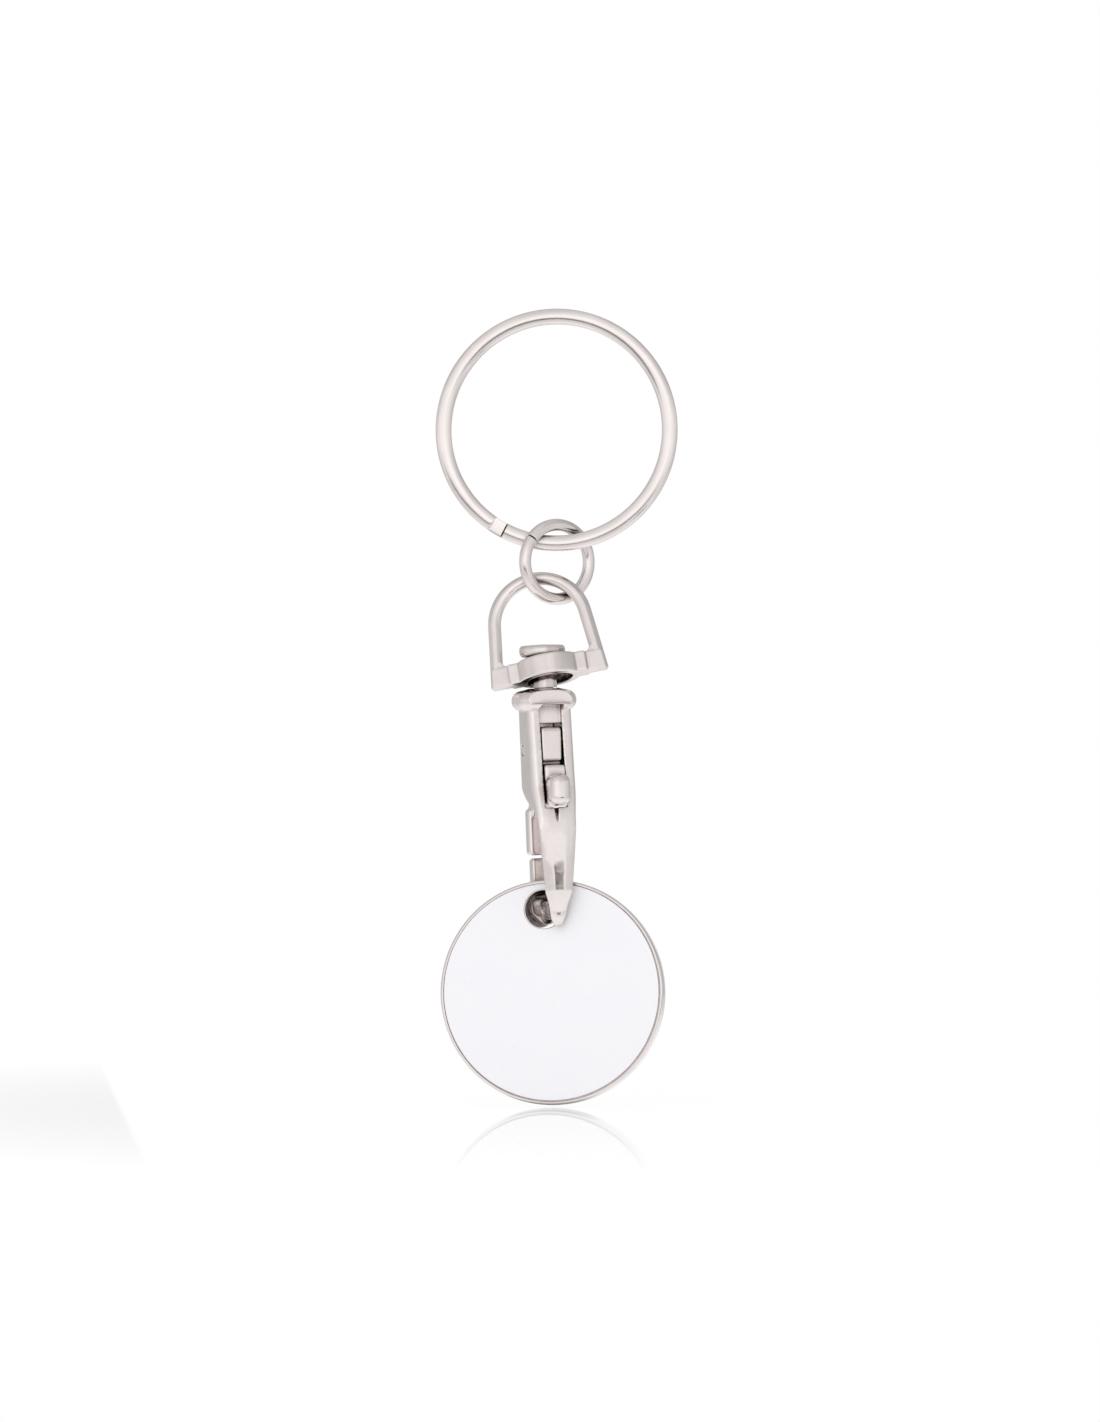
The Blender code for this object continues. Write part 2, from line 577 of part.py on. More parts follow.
def claw_stations():
    """Down the housing and the spine, round the bend and up the nose.

    Each station is a point on the outer side, a point on the inner side, a half-width and two shares for
    how soft its inner edges and how round its outer edges are. Points are (back, up) in the side view.
    """
    stations = []
    shares = [i / CLAW_STEPS for i in range(CLAW_STEPS + 1)]
    # Housing, down to where the cheeks start to round off
    for share in shares[::2]:
        down = mix(BODY_TOP, CHEEK_STRAIGHT, share)
        front = mix(BODY_TOP_FRONT, BODY_FRONT, share)
        stations.append(((-front, -down), (BODY_BACK, -down), BODY_HALF_WIDTH, 0, 0))
    # Ends of the cheeks, which round off into the spine at the top of the throat
    for share in shares[1:]:
        down = mix(CHEEK_STRAIGHT, SPINE_BULGE_DOWN, share)
        front = mix(BODY_FRONT, SPINE_FRONT, math.sin(share * math.pi / 2))
        inner = ellipse_point(
            (-SPINE_BACK, -CHEEK_STRAIGHT), BODY_BACK + SPINE_BACK, CHEEK_STRAIGHT - CHEEK_END, share
        )
        half_width = mix(BODY_HALF_WIDTH, SPINE_HALF_WIDTH, smooth_step(share))
        stations.append(((-front, -down), inner, half_width, share, 0))
    # Spine, down beside the throat
    for share in shares[2::2]:
        down = mix(SPINE_BULGE_DOWN, SPINE_LOW_DOWN, share)
        inner_down = mix(CHEEK_END, BEND_TOP - THROAT_CORNER_RADIUS, share)
        front = mix(SPINE_FRONT, SPINE_LOW_FRONT, share * share)
        half_width = mix(SPINE_HALF_WIDTH, SPINE_LOW_HALF_WIDTH, share)
        stations.append(((-front, -down), (-SPINE_BACK, -inner_down), half_width, 1, 0))
    # Front of the bend, tapering towards the hole of what hangs on it
    for share in shares[1:]:
        inner = corner_then_straight(
            (-SPINE_BACK, -BEND_TOP), -1, -1, THROAT_CORNER_RADIUS, -BEND_HALF_LENGTH, share
        )
        half_width = mix(SPINE_LOW_HALF_WIDTH, BEND_HALF_WIDTH, math.sin(share * math.pi / 2))
        stations.append((toe_point(share), inner, half_width, 1, share))
    # Straight stretch through the hole
    for along in (-BEND_HALF_LENGTH + THROAT_CORNER_RADIUS / 2, BEND_HALF_LENGTH):
        stations.append(((along, -BEND_BOTTOM), (along, -BEND_TOP), BEND_HALF_WIDTH, 1, 1))
    # Heel behind what hangs on the bend, and up to the nose
    for share in shares[1:]:
        outer_radii = (NOSE_BACK - BEND_HALF_LENGTH, NOSE_LOW - HEEL_BOTTOM)
        outer = ellipse_point((BEND_HALF_LENGTH, -NOSE_LOW), *outer_radii, 1 - share)
        inner = corner_then_straight(
            (NOSE_FRONT, -BEND_TOP), 1, -1, THROAT_CORNER_RADIUS, BEND_HALF_LENGTH, 1 - share
        )
        half_width = mix(BEND_HALF_WIDTH, NOSE_HALF_WIDTH, smooth_step(share))
        half_width += HEEL_SWELL * math.sin(share * math.pi) ** 2
        stations.append((outer, inner, half_width, 1 - share, 1 - share))
    # Nose and its rounded top
    for sink, inset in ((NOSE_ROUNDING, 0), (0, NOSE_ROUNDING)):
        up = -NOSE_TOP - sink
        stations.append(
            ((NOSE_BACK - inset, up), (NOSE_FRONT + inset, up), NOSE_HALF_WIDTH - inset, 0, 0)
        )
    return stations


def claw_section(outer, inner, half_width, softness, roundness):
    """One station's ring of points. The shares soften its two inner edges and round its two outer edges."""
    corner_shares = (
        (0, mix(0.84, 0.6, roundness)),
        (mix(0.1, 0.25, roundness), 1),
        (mix(0.94, 0.78, softness), 1),
        (1, mix(0.88, 0.6, softness)),
    )
    right = [
        (half_width * w, mix(outer[0], inner[0], depth), mix(outer[1], inner[1], depth))
        for depth, w in corner_shares
    ]
    return right + [(-x, y, z) for x, y, z in reversed(right)]


def collar_profile():
    r = COLLAR_ROUNDING
    rim = COLLAR_RADIUS - r
    profile = [(0, 0), (COLLAR_TOP_RADIUS, 0)]
    profile += arc_points((rim, -COLLAR_HEIGHT + r), r, math.pi * 0.42, -math.pi / 2, 8)
    profile.append((0, -COLLAR_HEIGHT))
    return profile


def slot_outline():
    """Side view of the space that the trigger moves in."""
    front = -SPINE_FRONT - CUT_OVERRUN
    back = BODY_BACK + CUT_OVERRUN
    wall = BODY_BACK - SLOT_BACK_WALL
    ledge = -BODY_TOP_FRONT + SLOT_LEDGE_THICKNESS
    floor_back = -SPINE_BACK + SEAT_CLEARANCE
    below = -CHEEK_END - CUT_OVERRUN
    return [
        (front, -SLOT_MOUTH_TOP),
        (ledge, -SLOT_MOUTH_TOP),
        (ledge, -SLOT_TOP),
        (wall, -SLOT_TOP),
        (wall, -SLOT_BACK_WALL_END),
        (back, -SLOT_BACK_WALL_END),
        (back, below),
        (floor_back, below),
        (floor_back, -SLOT_FLOOR_BACK),
        (front, -SLOT_BOTTOM),
    ]


def groove_rings():
    """A V groove in the spine's front, which runs out below the slot."""
    deep = -SPINE_FRONT + GROOVE_DEPTH
    proud = -SPINE_FRONT - CUT_OVERRUN
    top = -SLOT_BOTTOM + CUT_OVERRUN
    half = GROOVE_WIDTH / 2 * (1 + CUT_OVERRUN / GROOVE_DEPTH)
    high = [(-half, proud, top), (0, deep, top), (half, proud, top)]
    low = [(x, proud, -GROOVE_END) for x in (-SEAT_CLEARANCE, 0, SEAT_CLEARANCE)]
    low[1] = (0, -SPINE_FRONT, -GROOVE_END)
    return [high, low]


def hook_body(hook):
    made = swept("hook_body", [claw_section(*station) for station in claw_stations()], KEYRING)
    collar = turned("collar", collar_profile(), TURNED_STEPS, TOOLS)
    flats = [
        box(
            name,
            (-COLLAR_RADIUS - CUT_OVERRUN, min(near, far), -COLLAR_FLAT_HEIGHT),
            (COLLAR_RADIUS + CUT_OVERRUN, max(near, far), CUT_OVERRUN),
            TOOLS,
        )
        for name, near, far in (
            ("collar_front_flat", -COLLAR_FLAT, -COLLAR_RADIUS - CUT_OVERRUN),
            ("collar_back_flat", COLLAR_FLAT, COLLAR_RADIUS + CUT_OVERRUN),
        )
    ]
    cut(collar, *flats)
    applied(collar)
    slot = extruded("slot", slot_outline(), -SLOT_HALF_WIDTH, SLOT_HALF_WIDTH, TOOLS)
    proud = -SPINE_FRONT - CUT_OVERRUN
    pocket = box(
        "pocket",
        (-SLOT_HALF_WIDTH, proud, -POCKET_BOTTOM),
        (SLOT_HALF_WIDTH, -POCKET_FLOOR, -POCKET_TOP),
        TOOLS,
    )
    ledge = box(
        "ledge",
        (-SLOT_HALF_WIDTH, proud, -SLOT_MOUTH_TOP - CUT_OVERRUN),
        (SLOT_HALF_WIDTH, -BODY_TOP_FRONT + LEDGE_RECESS, -POCKET_BOTTOM + LEDGE_RECESS),
        TOOLS,
    )
    groove = swept("groove", groove_rings(), TOOLS)
    cheek = BODY_HALF_WIDTH + CUT_OVERRUN
    pin_bore = cylinder(
        "cheek_bore", PIN_RADIUS + CHEEK_BORE_CLEARANCE, -cheek, cheek, PIN_STEPS, TOOLS, axis="X"
    )
    pin_bore.location = (0, PIVOT_BACK, -PIVOT_DOWN)
    socket = cylinder(
        "stud_socket",
        STUD_SHANK_RADIUS + SEAT_CLEARANCE,
        -STUD_SOCKET_DEPTH - SEAT_CLEARANCE,
        CUT_OVERRUN,
        TURNED_STEPS,
        TOOLS,
    )
    join(made, collar)
    cut(made, slot, pocket, ledge, groove, pin_bore, socket)
    applied(made)
    return finish(made, hook, NICKEL)


def pivot_pin(hook):
    half_length = BODY_HALF_WIDTH - PIN_END_INSET
    made = cylinder("pivot_pin", PIN_RADIUS, -half_length, half_length, PIN_STEPS, KEYRING, axis="X")
    made.location = (0, PIVOT_BACK, -PIVOT_DOWN)
    return finish(made, hook, SPRING_STEEL)


def lever_outline():
    """Side view of the trigger about its pivot, anticlockwise from the back of the upper arm."""
    arm_radius = ARM_THICKNESS / 2
    arm_back = -ARM_FRONT + ARM_THICKNESS
    gate_end = -NOSE_TOP + GATE_GAP
    tip = -TAB_TIP_FRONT + TAB_TIP_RADIUS
    shank_down = mix(PIVOT_DOWN, GATE_SHOULDER, GATE_SHANK_SHARE)
    shank_back = mix(PIVOT_BACK + LEVER_EYE_RADIUS, NOSE_BACK, GATE_SHANK_SHARE)
    points = [(arm_back, -SPRING_DOWN - SPRING_COIL_RADIUS - SPRING_SEAT_GAP - SPRING_WIRE_RADIUS)]
    points.append((arm_back, -ARM_TOP - arm_radius))
    points += arc_points((-ARM_FRONT + arm_radius, -ARM_TOP - arm_radius), arm_radius, 0, math.pi, 5)[1:]
    points += [
        (-ARM_FRONT, -ARM_END),
        (-ARM_FRONT + NOTCH_DEPTH, -ARM_END),
        (-ARM_FRONT + NOTCH_DEPTH, -TAB_TOP + NOTCH_DEPTH),
        (-TAB_ROOT_FRONT, -TAB_TOP),
    ]
    points += arc_points((tip, -TAB_TIP_HIGH), TAB_TIP_RADIUS, math.pi * 0.65, math.pi, 4)
    points += arc_points((tip, -TAB_BOTTOM + TAB_TIP_RADIUS), TAB_TIP_RADIUS, math.pi, math.pi * 1.5, 4)
    points += [
        (-TAB_UNDERSIDE_FRONT, -TAB_BOTTOM),
        (0, -TAB_BOTTOM + NOTCH_DEPTH),
        (NOSE_FRONT - ARM_THICKNESS / 2, -GATE_SHOULDER + NOTCH_DEPTH),
        (NOSE_FRONT, -GATE_SHOULDER - ARM_THICKNESS),
        (NOSE_FRONT, gate_end),
    ]
    points += arc_points(
        (NOSE_BACK - GATE_ROUNDING, gate_end + GATE_ROUNDING), GATE_ROUNDING, -math.pi / 2, 0, 4
    )
    points += [(NOSE_BACK, -GATE_SHOULDER), (shank_back, -shank_down)]
    points += arc_points((PIVOT_BACK, -PIVOT_DOWN), LEVER_EYE_RADIUS, -math.pi / 9, math.pi * 0.72, 7)
    return [(y - PIVOT_BACK, z + PIVOT_DOWN) for y, z in points]


def trigger_gate(pivot):
    made = extruded("trigger_gate", lever_outline(), -LEVER_HALF_WIDTH, LEVER_HALF_WIDTH, KEYRING)
    rounded(made, LEVER_ROUNDING, segments=1, limit=60 * DEGREE)
    gate_end = -NOSE_TOP + GATE_GAP + PIVOT_DOWN
    gate = box(
        "gate_block",
        (-GATE_HALF_WIDTH, NOSE_FRONT - PIVOT_BACK, gate_end),
        (GATE_HALF_WIDTH, NOSE_BACK - PIVOT_BACK, PIVOT_DOWN - GATE_SHOULDER),
        TOOLS,
    )
    rounded(gate, GATE_ROUNDING, segments=3)
    reach = LEVER_HALF_WIDTH + CUT_OVERRUN
    bore = PIN_RADIUS + LEVER_BORE_CLEARANCE
    eye = cylinder("lever_bore", bore, -reach, reach, PIN_STEPS, TOOLS, axis="X")
    join(made, gate)
    cut(made, eye)
    applied(made)
    return finish(made, pivot, NICKEL)


def gate_spring(hook):
    """A small compression coil. Its one tube runs from the arm's back to the housing's back wall."""
    start = -ARM_FRONT + ARM_THICKNESS + SPRING_SEAT_GAP + SPRING_WIRE_RADIUS
    stop = BODY_BACK - SLOT_BACK_WALL - SPRING_SEAT_GAP - SPRING_WIRE_RADIUS
    count = SPRING_TURNS * SPRING_POINTS_PER_TURN
    points = []
    for i in range(count + 1):
        angle = 2 * math.pi * i / SPRING_POINTS_PER_TURN
        points.append(
            (
                SPRING_COIL_RADIUS * math.cos(angle),
                mix(start, stop, i / count),
                -SPRING_DOWN + SPRING_COIL_RADIUS * math.sin(angle),
            )
        )
    far_apart = SPRING_POINTS_PER_TURN // 2
    gap = min(
        (Vector(a) - Vector(b)).length
        for i, a in enumerate(points)
        for b in points[i + far_apart :]
    )
    print(f"gate spring: least gap between its turns {(gap - 2 * SPRING_WIRE_RADIUS) / MM:.3f} mm")
    made = tube("gate_spring", points, SPRING_WIRE_RADIUS, 1)
    return finish(made, hook, SPRING_STEEL)


def token_centre():
    """The token's centre from its hole, in the plane of its face."""
    return Vector(
        (
            TOKEN_HOLE_OFFSET * math.sin(TOKEN_HANG_ANGLE),
            0,
            -TOKEN_HOLE_OFFSET * math.cos(TOKEN_HANG_ANGLE),
        )
    )


def laid_in_token_plane(made):
    """Turns a disc made about Z to face -Y, with the token's hole at the object's origin."""
    made.data.transform(Matrix.Translation(token_centre()) @ Matrix.Rotation(math.pi / 2, 4, "X"))
    return made


def hole_cutter(name, radius):
    reach = TOKEN_THICKNESS + CUT_OVERRUN
    return cylinder(name, radius, -reach, reach, HOLE_STEPS, TOOLS, axis="Y")


def token(pivot):
    half = TOKEN_THICKNESS / 2
    floor = half - INLAY_DEPTH
    bed = TOKEN_RADIUS - TOKEN_RIM_WIDTH
    top = [(0, floor), (bed, floor), (bed, half), (TOKEN_RADIUS - TOKEN_CHAMFER, half)]
    top.append((TOKEN_RADIUS, half - TOKEN_CHAMFER))
    profile = top + [(x, -z) for x, z in reversed(top)]
    made = laid_in_token_plane(turned("token", profile, TOKEN_STEPS, KEYRING))
    cut(made, hole_cutter("token_hole", TOKEN_HOLE_RADIUS))
    applied(made)
    return finish(made, pivot, NICKEL)


def token_inlay(pivot, name, side):
    low = TOKEN_THICKNESS / 2 - INLAY_DEPTH + INLAY_GAP
    radius = TOKEN_RADIUS - TOKEN_RIM_WIDTH - INLAY_EDGE_GAP
    depths = sorted((side * low, side * (low + INLAY_THICKNESS)))
    made = laid_in_token_plane(cylinder(name, radius, *depths, TOKEN_STEPS, KEYRING))
    cut(made, hole_cutter(name + "_hole", TOKEN_HOLE_RADIUS + INLAY_HOLE_MARGIN))
    applied(made)
    return finish(made, pivot, WHITE_ENAMEL)


for leftover in list(bpy.data.objects):
    bpy.data.objects.remove(leftover)

KEYRING = collection("coin_holder_keyring")
TOOLS = collection("cutters_and_joined_forms", rendered=False)
NICKEL = material("nickel_plate", (0.72, 0.69, 0.68), 0.22, 1.0)
SPRING_STEEL = material("spring_steel", (0.70, 0.68, 0.67), 0.18, 1.0)
WHITE_ENAMEL = material("white_enamel", (0.92, 0.92, 0.95), 0.35, 0.0)

ROOT = empty("keyring", Vector(), Matrix(), None)
jump_pivot = empty("jump_ring_pivot", RING_BOTTOM_WIRE, Matrix(), ROOT)
loop_pivot = empty("swivel_loop_pivot", JUMP_BOTTOM_WIRE, Matrix(), jump_pivot)
hook_swivel = empty("hook_swivel", HOOK_TOP, HOOK_TURN, loop_pivot)
bpy.context.view_layer.update()
pivot_place = hook_swivel.matrix_world @ Vector((0, PIVOT_BACK, -PIVOT_DOWN))
trigger_pivot = empty("trigger_pivot", pivot_place, HOOK_TURN, hook_swivel)
token_pivot = empty("token_pivot", TOKEN_HOLE, TOKEN_TURN, hook_swivel)
bpy.context.view_layer.update()

split_ring()
jump_ring(jump_pivot)
swivel_loop(loop_pivot)
swivel_stud(hook_swivel)
hook_body(hook_swivel)
pivot_pin(hook_swivel)
trigger_gate(trigger_pivot)
gate_spring(hook_swivel)
token(token_pivot)
token_inlay(token_pivot, "token_inlay_front", 1)
token_inlay(token_pivot, "token_inlay_back", -1)
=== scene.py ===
"""Looks of the coin holder keyring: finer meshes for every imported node, metal and enamel, studio and camera.

Shapes are made in millimetres in the piece's own frame and brought to metres when they are placed. In the
hook's frame Z points up its axis from the collar's top, and -Y is the side with the thumb tab. Sizes named
FRONT, BACK and TOP, LOW, DOWN or BOTTOM are distances from there, taken as positive.
"""

import json
import math

import bmesh
import bpy
from mathutils import Matrix, Vector

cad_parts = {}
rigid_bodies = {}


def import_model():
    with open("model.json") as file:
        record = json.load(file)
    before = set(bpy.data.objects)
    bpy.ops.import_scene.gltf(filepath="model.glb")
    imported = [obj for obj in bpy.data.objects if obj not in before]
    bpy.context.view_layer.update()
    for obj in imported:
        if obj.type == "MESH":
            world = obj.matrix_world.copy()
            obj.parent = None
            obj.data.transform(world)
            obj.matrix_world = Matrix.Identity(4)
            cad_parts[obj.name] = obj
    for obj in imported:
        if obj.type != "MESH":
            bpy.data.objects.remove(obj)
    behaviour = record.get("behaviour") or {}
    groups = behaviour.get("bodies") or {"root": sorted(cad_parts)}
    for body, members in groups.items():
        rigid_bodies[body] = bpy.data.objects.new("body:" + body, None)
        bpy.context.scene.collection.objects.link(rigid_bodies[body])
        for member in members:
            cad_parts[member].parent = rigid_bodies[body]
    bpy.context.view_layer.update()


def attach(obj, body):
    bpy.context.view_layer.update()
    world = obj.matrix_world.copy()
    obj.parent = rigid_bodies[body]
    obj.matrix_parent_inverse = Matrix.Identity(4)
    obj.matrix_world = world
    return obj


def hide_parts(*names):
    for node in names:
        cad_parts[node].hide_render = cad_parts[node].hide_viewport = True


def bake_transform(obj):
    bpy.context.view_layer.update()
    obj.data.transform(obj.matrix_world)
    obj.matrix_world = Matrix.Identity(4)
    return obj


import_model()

MM = 0.001
DEGREE = math.pi / 180

# Split ring
RING_INNER = 10.95
RING_WIDTH = 1.62
RING_THICKNESS = 0.50
RING_CROWN = 0.42
RING_BACK_CROWN = 0.07
RING_EDGE_SHARE = 0.04
RING_SECTION_STEPS = 22
RING_TURN_GAP = 0.42
RING_END_ANGLE = 243 * DEGREE
RING_CROSSOVER = 8 * DEGREE
RING_REAR_SWEEP = 350 * DEGREE
RING_STEP_SHARE = 0.1
RING_END_EASE = 0.12
RING_END_CROWN = 0.05
RING_END_SINK = 0.10
RING_MEAN = RING_INNER + RING_WIDTH / 2
RING_LAYER = (RING_THICKNESS + RING_TURN_GAP) / 2

# Jump ring
JUMP_RADIUS = 3.85
JUMP_WIRE = 0.62
JUMP_SLIT = 0.12
JUMP_SLIT_ANGLE = 142 * DEGREE
JUMP_YAW = 35 * DEGREE
JUMP_SEAT = Vector((0.05, 0, 0.50 + JUMP_WIRE - JUMP_RADIUS))
JUMP_CENTRE = Vector((0, 0, -RING_INNER - RING_MEAN + RING_WIDTH / 2)) + JUMP_SEAT

# Swivel loop
LOOP_ARCH = 4.80
LOOP_WIDTH = 1.34
LOOP_DEPTH = 1.40
LOOP_ARCH_UP = 4.99
LOOP_HALF_LENGTH = 6.2
LOOP_BASE_HEIGHT = 2.15
LOOP_BASE_DEPTH = 1.36
LOOP_BAR_REACH_SHARE = 0.4
LOOP_SHOULDER_LENGTH = 8.2
LOOP_SHOULDER_DEPTH = 2.5
LOOP_BOSS = 3.28
LOOP_BORE = 2.38
LOOP_FILLET = 0.55
LOOP_FILLET_SINK = 0.3
LOOP_WIRE_ROUNDING = 0.16
LOOP_BAR_ROUNDING = 0.18
LOOP_BASE = JUMP_CENTRE + Vector((-0.74, -2.04, -JUMP_RADIUS - 7.35))
LOOP_TURN = Matrix.Rotation(-3 * DEGREE, 4, "Z") @ Matrix.Rotation(-12 * DEGREE, 4, "X")
LOOP_TURN = LOOP_TURN @ Matrix.Rotation(-11.2 * DEGREE, 4, "Y")

# Stud
STUD_HEAD = 2.42
STUD_HEAD_HEIGHT = 1.35
STUD_ROUNDING = 0.42
STUD_UNDER_ROUNDING = 0.55
STUD_SHANK = 1.0
STUD_DOME = 0.1
STUD_FACETS = 0.03
STUD_NECK = 1.42
STUD_NECK_TOP = 1.45
STUD_NECK_EDGE = (0.1, 0.15)
STUD_NECK_END = 1.9
STUD_LIFT = 3.2
STUD_SOCKET = 1.3
SEAT = 0.08

# Hook
HOOK_TURN = Matrix.Rotation(-2.2 * DEGREE, 4, "Y") @ Matrix.Rotation(21 * DEGREE, 4, "Z")
HOOK_AXIS = HOOK_TURN.to_3x3() @ Vector((0, 0, 1))
HOOK_TOP = LOOP_BASE + Vector((-0.58, 0.17, 0)) - HOOK_AXIS * (1.92 / HOOK_AXIS.z)
COLLAR = 3.43
COLLAR_HEIGHT = 2.3
COLLAR_TOP = 1.7
COLLAR_ROUNDING = 1.05
COLLAR_FLAT = 2.4
COLLAR_FLAT_DOWN = 1.6
COLLAR_EDGE = (0.05, 0.03)
COLLAR_FACETS = 0.035
BODY_HALF_WIDTH = 2.37
BODY_TOP = 0.9
BODY_TOP_FRONT = 1.85
BODY_FRONT = 2.65
BODY_BACK = 1.75
CHEEK_STRAIGHT = 10.1
CHEEK_END = 12.25
SPINE_FRONT = 3.28
SPINE_BACK = 2.2
SPINE_BULGE = 14.7
SPINE_HALF_WIDTH = 2.03
SPINE_LOW_FRONT = 3.2
SPINE_FALL = 0.12
SPINE_CROWN = 0.16
CLAW_ROUNDING = 0.28
SPINE_LOW = 20.85
SPINE_LOW_HALF_WIDTH = 1.44
THROAT = 0.4
BEND_TOP = 21.75
BEND_BOTTOM = 23.85
FACET_FRONT = 2.45
FACET_DOWN = 23.1
TOE_FRONT = 1.75
TOE_BOTTOM = 24.55
BEND_HALF_WIDTH = 0.8
BEND_HALF_LENGTH = 1.3
HEEL_BOTTOM = 24.5
HEEL_SWELL = 0.35
HEEL_QUICK = 2.2
HEEL_PLACE = (-0.35, 3.05, -22.9)
HEEL_RADII = (1.75, 0.6, 1.95)
NOSE_FRONT = 2.3
NOSE_BACK = 3.75
NOSE_HALF_WIDTH = 1.22
NOSE_TOP = 17.6
NOSE_LOW = 20.8
NOSE_ROUNDING = 0.22
SLOT_HALF_WIDTH = 1.2
SLOT_TOP = 3.1
SLOT_MOUTH_TOP = 3.65
SLOT_ROOF = 0.43
SLOT_BOTTOM = 12.15
SLOT_FLOOR_BACK = 12.4
SLOT_WALL = 0.6
SLOT_WALL_END = 5.2
POCKET_TOP = 1.7
POCKET_BOTTOM = 3.7
POCKET_FLOOR = 1.62
GROOVE_END = 14.5
GROOVE_WIDTH = 1.1
GROOVE_DEPTH = 1.7

# Trigger, pin and spring
PIVOT = Vector((0, 0.7, -6.35))
PIN_RADIUS = 0.5
PIN_ROUNDING = 0.12
PIN_PLAY = 0.06
EYE_PLAY = 0.1
LEVER_HALF_WIDTH = 1.08
EYE_RADIUS = 1.0
ARM_TOP = 4.0
ARM_FRONT = 2.1
ARM_THICKNESS = 0.9
ARM_END = 7.5
NOTCH = 0.3
NOTCH_SLOPE = 0.1
FACE_TOP = 7.95
FACE_ROOT = 2.9
FACE_EASE = 0.2
FACE_FRONT = 3.0
FACE_LENGTH = 1.2
TAB_FRONT = 5.22
TAB_BACK = 2.0
TAB_TOP = 8.9
TAB_BOTTOM = 12.05
TAB_ROUNDING = 0.82
LEVER_ROUNDING = 0.14
LEVER_BOTTOM = 12.0
LEVER_UNDERSIDE = 2.1
LIP_BACK = 3.3
LIP_FRONT = 3.6
LIP_RISE = 0.4
LIP_DOWN = 12.3
LIP_ROUNDING = 0.12
GATE_SHOULDER = 12.45
GATE_HALF_WIDTH = 1.5
GATE_GAP = 0.32
GATE_ROUNDING = 0.35
SPRING_WIRE = 0.1
SPRING_COIL = 0.5
SPRING_DOWN = 4.55
SPRING_SEAT = 0.1
SPRING_TURNS = 2
SPRING_STEPS = 80

# Token
TOKEN_RADIUS = 11.62
TOKEN_HALF = 1.05
TOKEN_RIM = 0.32
TOKEN_CHAMFER = 0.22
TOKEN_HOLE = 1.98
TOKEN_HOLE_OFFSET = TOKEN_RADIUS - TOKEN_HOLE - 1.02
TOKEN_HANG = 6.1 * DEGREE
TOKEN_TURN = Matrix.Rotation(-4.5 * DEGREE, 4, "Z") @ Matrix.Rotation(-4.5 * DEGREE, 4, "X")
TOKEN_PLACE = HOOK_TOP + HOOK_TURN.to_3x3() @ Vector((0, 0.16, -22.9))
TOKEN_PLACE += TOKEN_TURN.to_3x3() @ Vector((-0.70, 0, 0))
TOKEN_LIP_ROUNDING = 0.05
INLAY_FLOOR = 0.85
INLAY_GLUE = 0.02
INLAY_HEIGHT = 0.14
INLAY_ROUNDING = 0.03
INLAY_CREEP = 0.008
INLAY_EDGE_GAP = 0.10
INLAY_SHIFT = Vector((-0.06, 0, 0.05))
INLAY_HOLE_MARGIN = 0.12

# Soft edges of the castings, and how far a cutter runs past what it cuts
VOXEL = 0.075
CASTING_PASSES = 5
LEVER_PASSES = 24
OVERRUN = 1.0


def from_skin(name, skin):
    mesh = bpy.data.meshes.new(name)
    bmesh.ops.recalc_face_normals(skin, faces=skin.faces)
    skin.to_mesh(mesh)
    skin.free()
    made = bpy.data.objects.new(name, mesh)
    bpy.context.scene.collection.objects.link(made)
    return made


def swept(name, rings):
    """A closed skin through rings of points, with a flat cap at each end."""
    skin = bmesh.new()
    rows = [[skin.verts.new(point) for point in ring] for ring in rings]
    for row, after in zip(rows, rows[1:]):
        for i in range(len(row)):
            j = (i + 1) % len(row)
            skin.faces.new((row[i], row[j], after[j], after[i]))
    skin.faces.new(rows[0][::-1])
    skin.faces.new(rows[-1])
    return from_skin(name, skin)


def polished_away(angle):
    """How much of a turned piece's radius the hand polish took off at this angle, from 0 to 1."""
    return 0.6 * math.sin(6 * angle + 0.6) ** 2 + 0.4 * math.sin(4.5 * angle + 2.1) ** 2


def turned(name, profile, steps, facets=0.0):
    """A solid of revolution about Z, from a profile that runs from axis to axis.

    facets is the share of the radius by which its polish is uneven."""
    skin = bmesh.new()
    first = skin.verts.new((0, 0, profile[0][1]))
    last = skin.verts.new((0, 0, profile[-1][1]))
    turns = [2 * math.pi * i / steps for i in range(steps)]
    around = [(a, 1 - facets * polished_away(a)) for a in turns]
    rows = []
    for r, z in profile[1:-1]:
        ring = [(r * left * math.cos(a), r * left * math.sin(a), z) for a, left in around]
        rows.append([skin.verts.new(point) for point in ring])
    for i in range(steps):
        j = (i + 1) % steps
        skin.faces.new((first, rows[0][i], rows[0][j]))
        skin.faces.new((last, rows[-1][j], rows[-1][i]))
        for row, after in zip(rows, rows[1:]):
            skin.faces.new((row[i], after[i], after[j], row[j]))
    return from_skin(name, skin)


def extruded(name, outline, half):
    """A prism whose outline lies in the YZ plane."""
    return swept(name, [[(x, y, z) for y, z in outline] for x in (-half, half)])


def box(name, low, high):
    (x0, y0, z0), (x1, y1, z1) = low, high
    return swept(name, [[(x, y0, z0), (x, y1, z0), (x, y1, z1), (x, y0, z1)] for x in (x0, x1)])


def cylinder(name, radius, low, high, axis="Z", place=(0, 0, 0), steps=64):
    made = turned(name, [(0, low), (radius, low), (radius, high), (0, high)], steps)
    if axis == "X":
        made.data.transform(Matrix.Rotation(math.pi / 2, 4, "Y"))
    if axis == "Y":
        made.data.transform(Matrix.Rotation(-math.pi / 2, 4, "X"))
    made.data.transform(Matrix.Translation(place))
    return made


def ball(name, place, radii):
    skin = bmesh.new()
    bmesh.ops.create_icosphere(skin, subdivisions=4, radius=1.0)
    made = from_skin(name, skin)
    made.data.transform(Matrix.Translation(place) @ Matrix.Diagonal((*radii, 1)))
    return made


